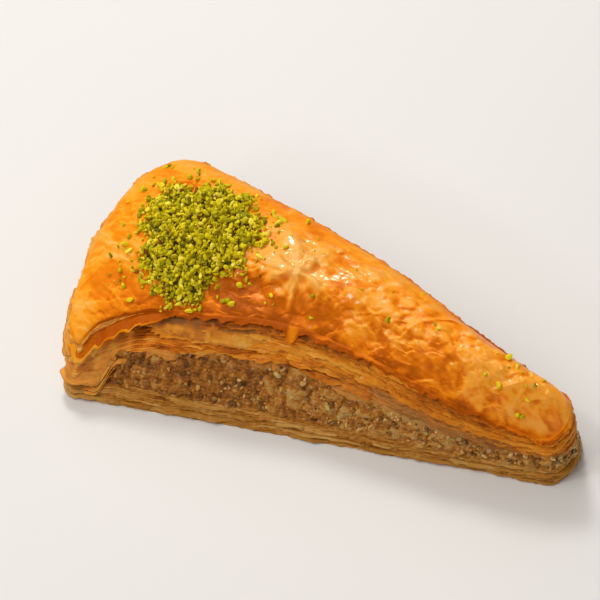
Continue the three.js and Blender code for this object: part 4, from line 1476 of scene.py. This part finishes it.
# Disk lamps: azimuth and elevation in degrees, distance and size in metres, watts and colour.
WINDOW_WHITE = (1.0, 0.985, 0.96)
LIGHTS = {
    "window": (215, 50, 1.1, 0.8, 2.4, WINDOW_WHITE),
    "sparkle": (214, 52, 1.1, 0.22, 4.0, WINDOW_WHITE),
    "overhead": (296, 64, 1.2, 1.0, 5.35, (1.0, 0.97, 0.93)),
    "high_sparkle": (302, 64, 1.1, 0.12, 1.2, WINDOW_WHITE),
    "front_sparkle": (338, 38, 1.2, 0.14, 1.0, (1.0, 0.96, 0.94)),
    "front_fill": (40, 40, 1.3, 1.0, 2.1, (1.0, 0.92, 0.83)),
}
SURROUNDINGS = {"Color": (1.0, 0.965, 0.92, 1), "Strength": 0.19}
FLOOR_HALF = 1.5
FLOOR_COLOUR = (0.76, 0.75, 0.73, 1)


def add_floor():
    mesh = bpy.data.meshes.new("floor")
    corners = [(-1, -1, 0), (1, -1, 0), (1, 1, 0), (-1, 1, 0)]
    mesh.from_pydata([Vector(corner) * FLOOR_HALF for corner in corners], [], [(0, 1, 2, 3)])
    floor = bpy.data.objects.new("floor", mesh)
    bpy.context.scene.collection.objects.link(floor)
    mesh.materials.append(Look("floor").finish(Base_Color=FLOOR_COLOUR, Roughness=0.6))


def direction(azimuth, elevation):
    """The unit vector from the object towards a viewer at these angles, in degrees."""
    a, e = math.radians(azimuth), math.radians(elevation)
    return Vector((math.sin(a) * math.cos(e), -math.cos(a) * math.cos(e), math.sin(e)))


def add_light(name, azimuth, elevation, distance, size, power, colour):
    data = bpy.data.lights.new(name, "AREA")
    data.shape = "DISK"
    data.size = size
    data.energy = power
    data.color = colour
    lamp = bpy.data.objects.new(name, data)
    lamp.location = direction(azimuth, elevation) * distance
    lamp.rotation_euler = lamp.location.to_track_quat("Z", "Y").to_euler()
    bpy.context.scene.collection.objects.link(lamp)


def add_camera():
    data = bpy.data.cameras.new("camera")
    data.sensor_width = 36
    data.lens = CAMERA["lens"]
    data.clip_end = 20
    camera = bpy.data.objects.new("camera", data)
    back = direction(CAMERA["azimuth"], CAMERA["elevation"])
    turn = back.to_track_quat("Z", "Y").to_matrix().to_4x4()
    roll = Matrix.Rotation(math.radians(CAMERA["roll"]), 4, "Z")
    place = Vector(CAMERA_AIM) * MM + back * CAMERA["distance"] * MM
    camera.matrix_world = Matrix.Translation(place) @ turn @ roll
    bpy.context.scene.collection.objects.link(camera)
    bpy.context.scene.camera = camera


add_floor()
for name, settings in LIGHTS.items():
    add_light(name, *settings)
add_camera()

world = bpy.data.worlds.new("studio")
world.use_nodes = True
for key, value in SURROUNDINGS.items():
    world.node_tree.nodes["Background"].inputs[key].default_value = value
bpy.context.scene.world = world
bpy.context.scene.view_settings.view_transform = "Standard"
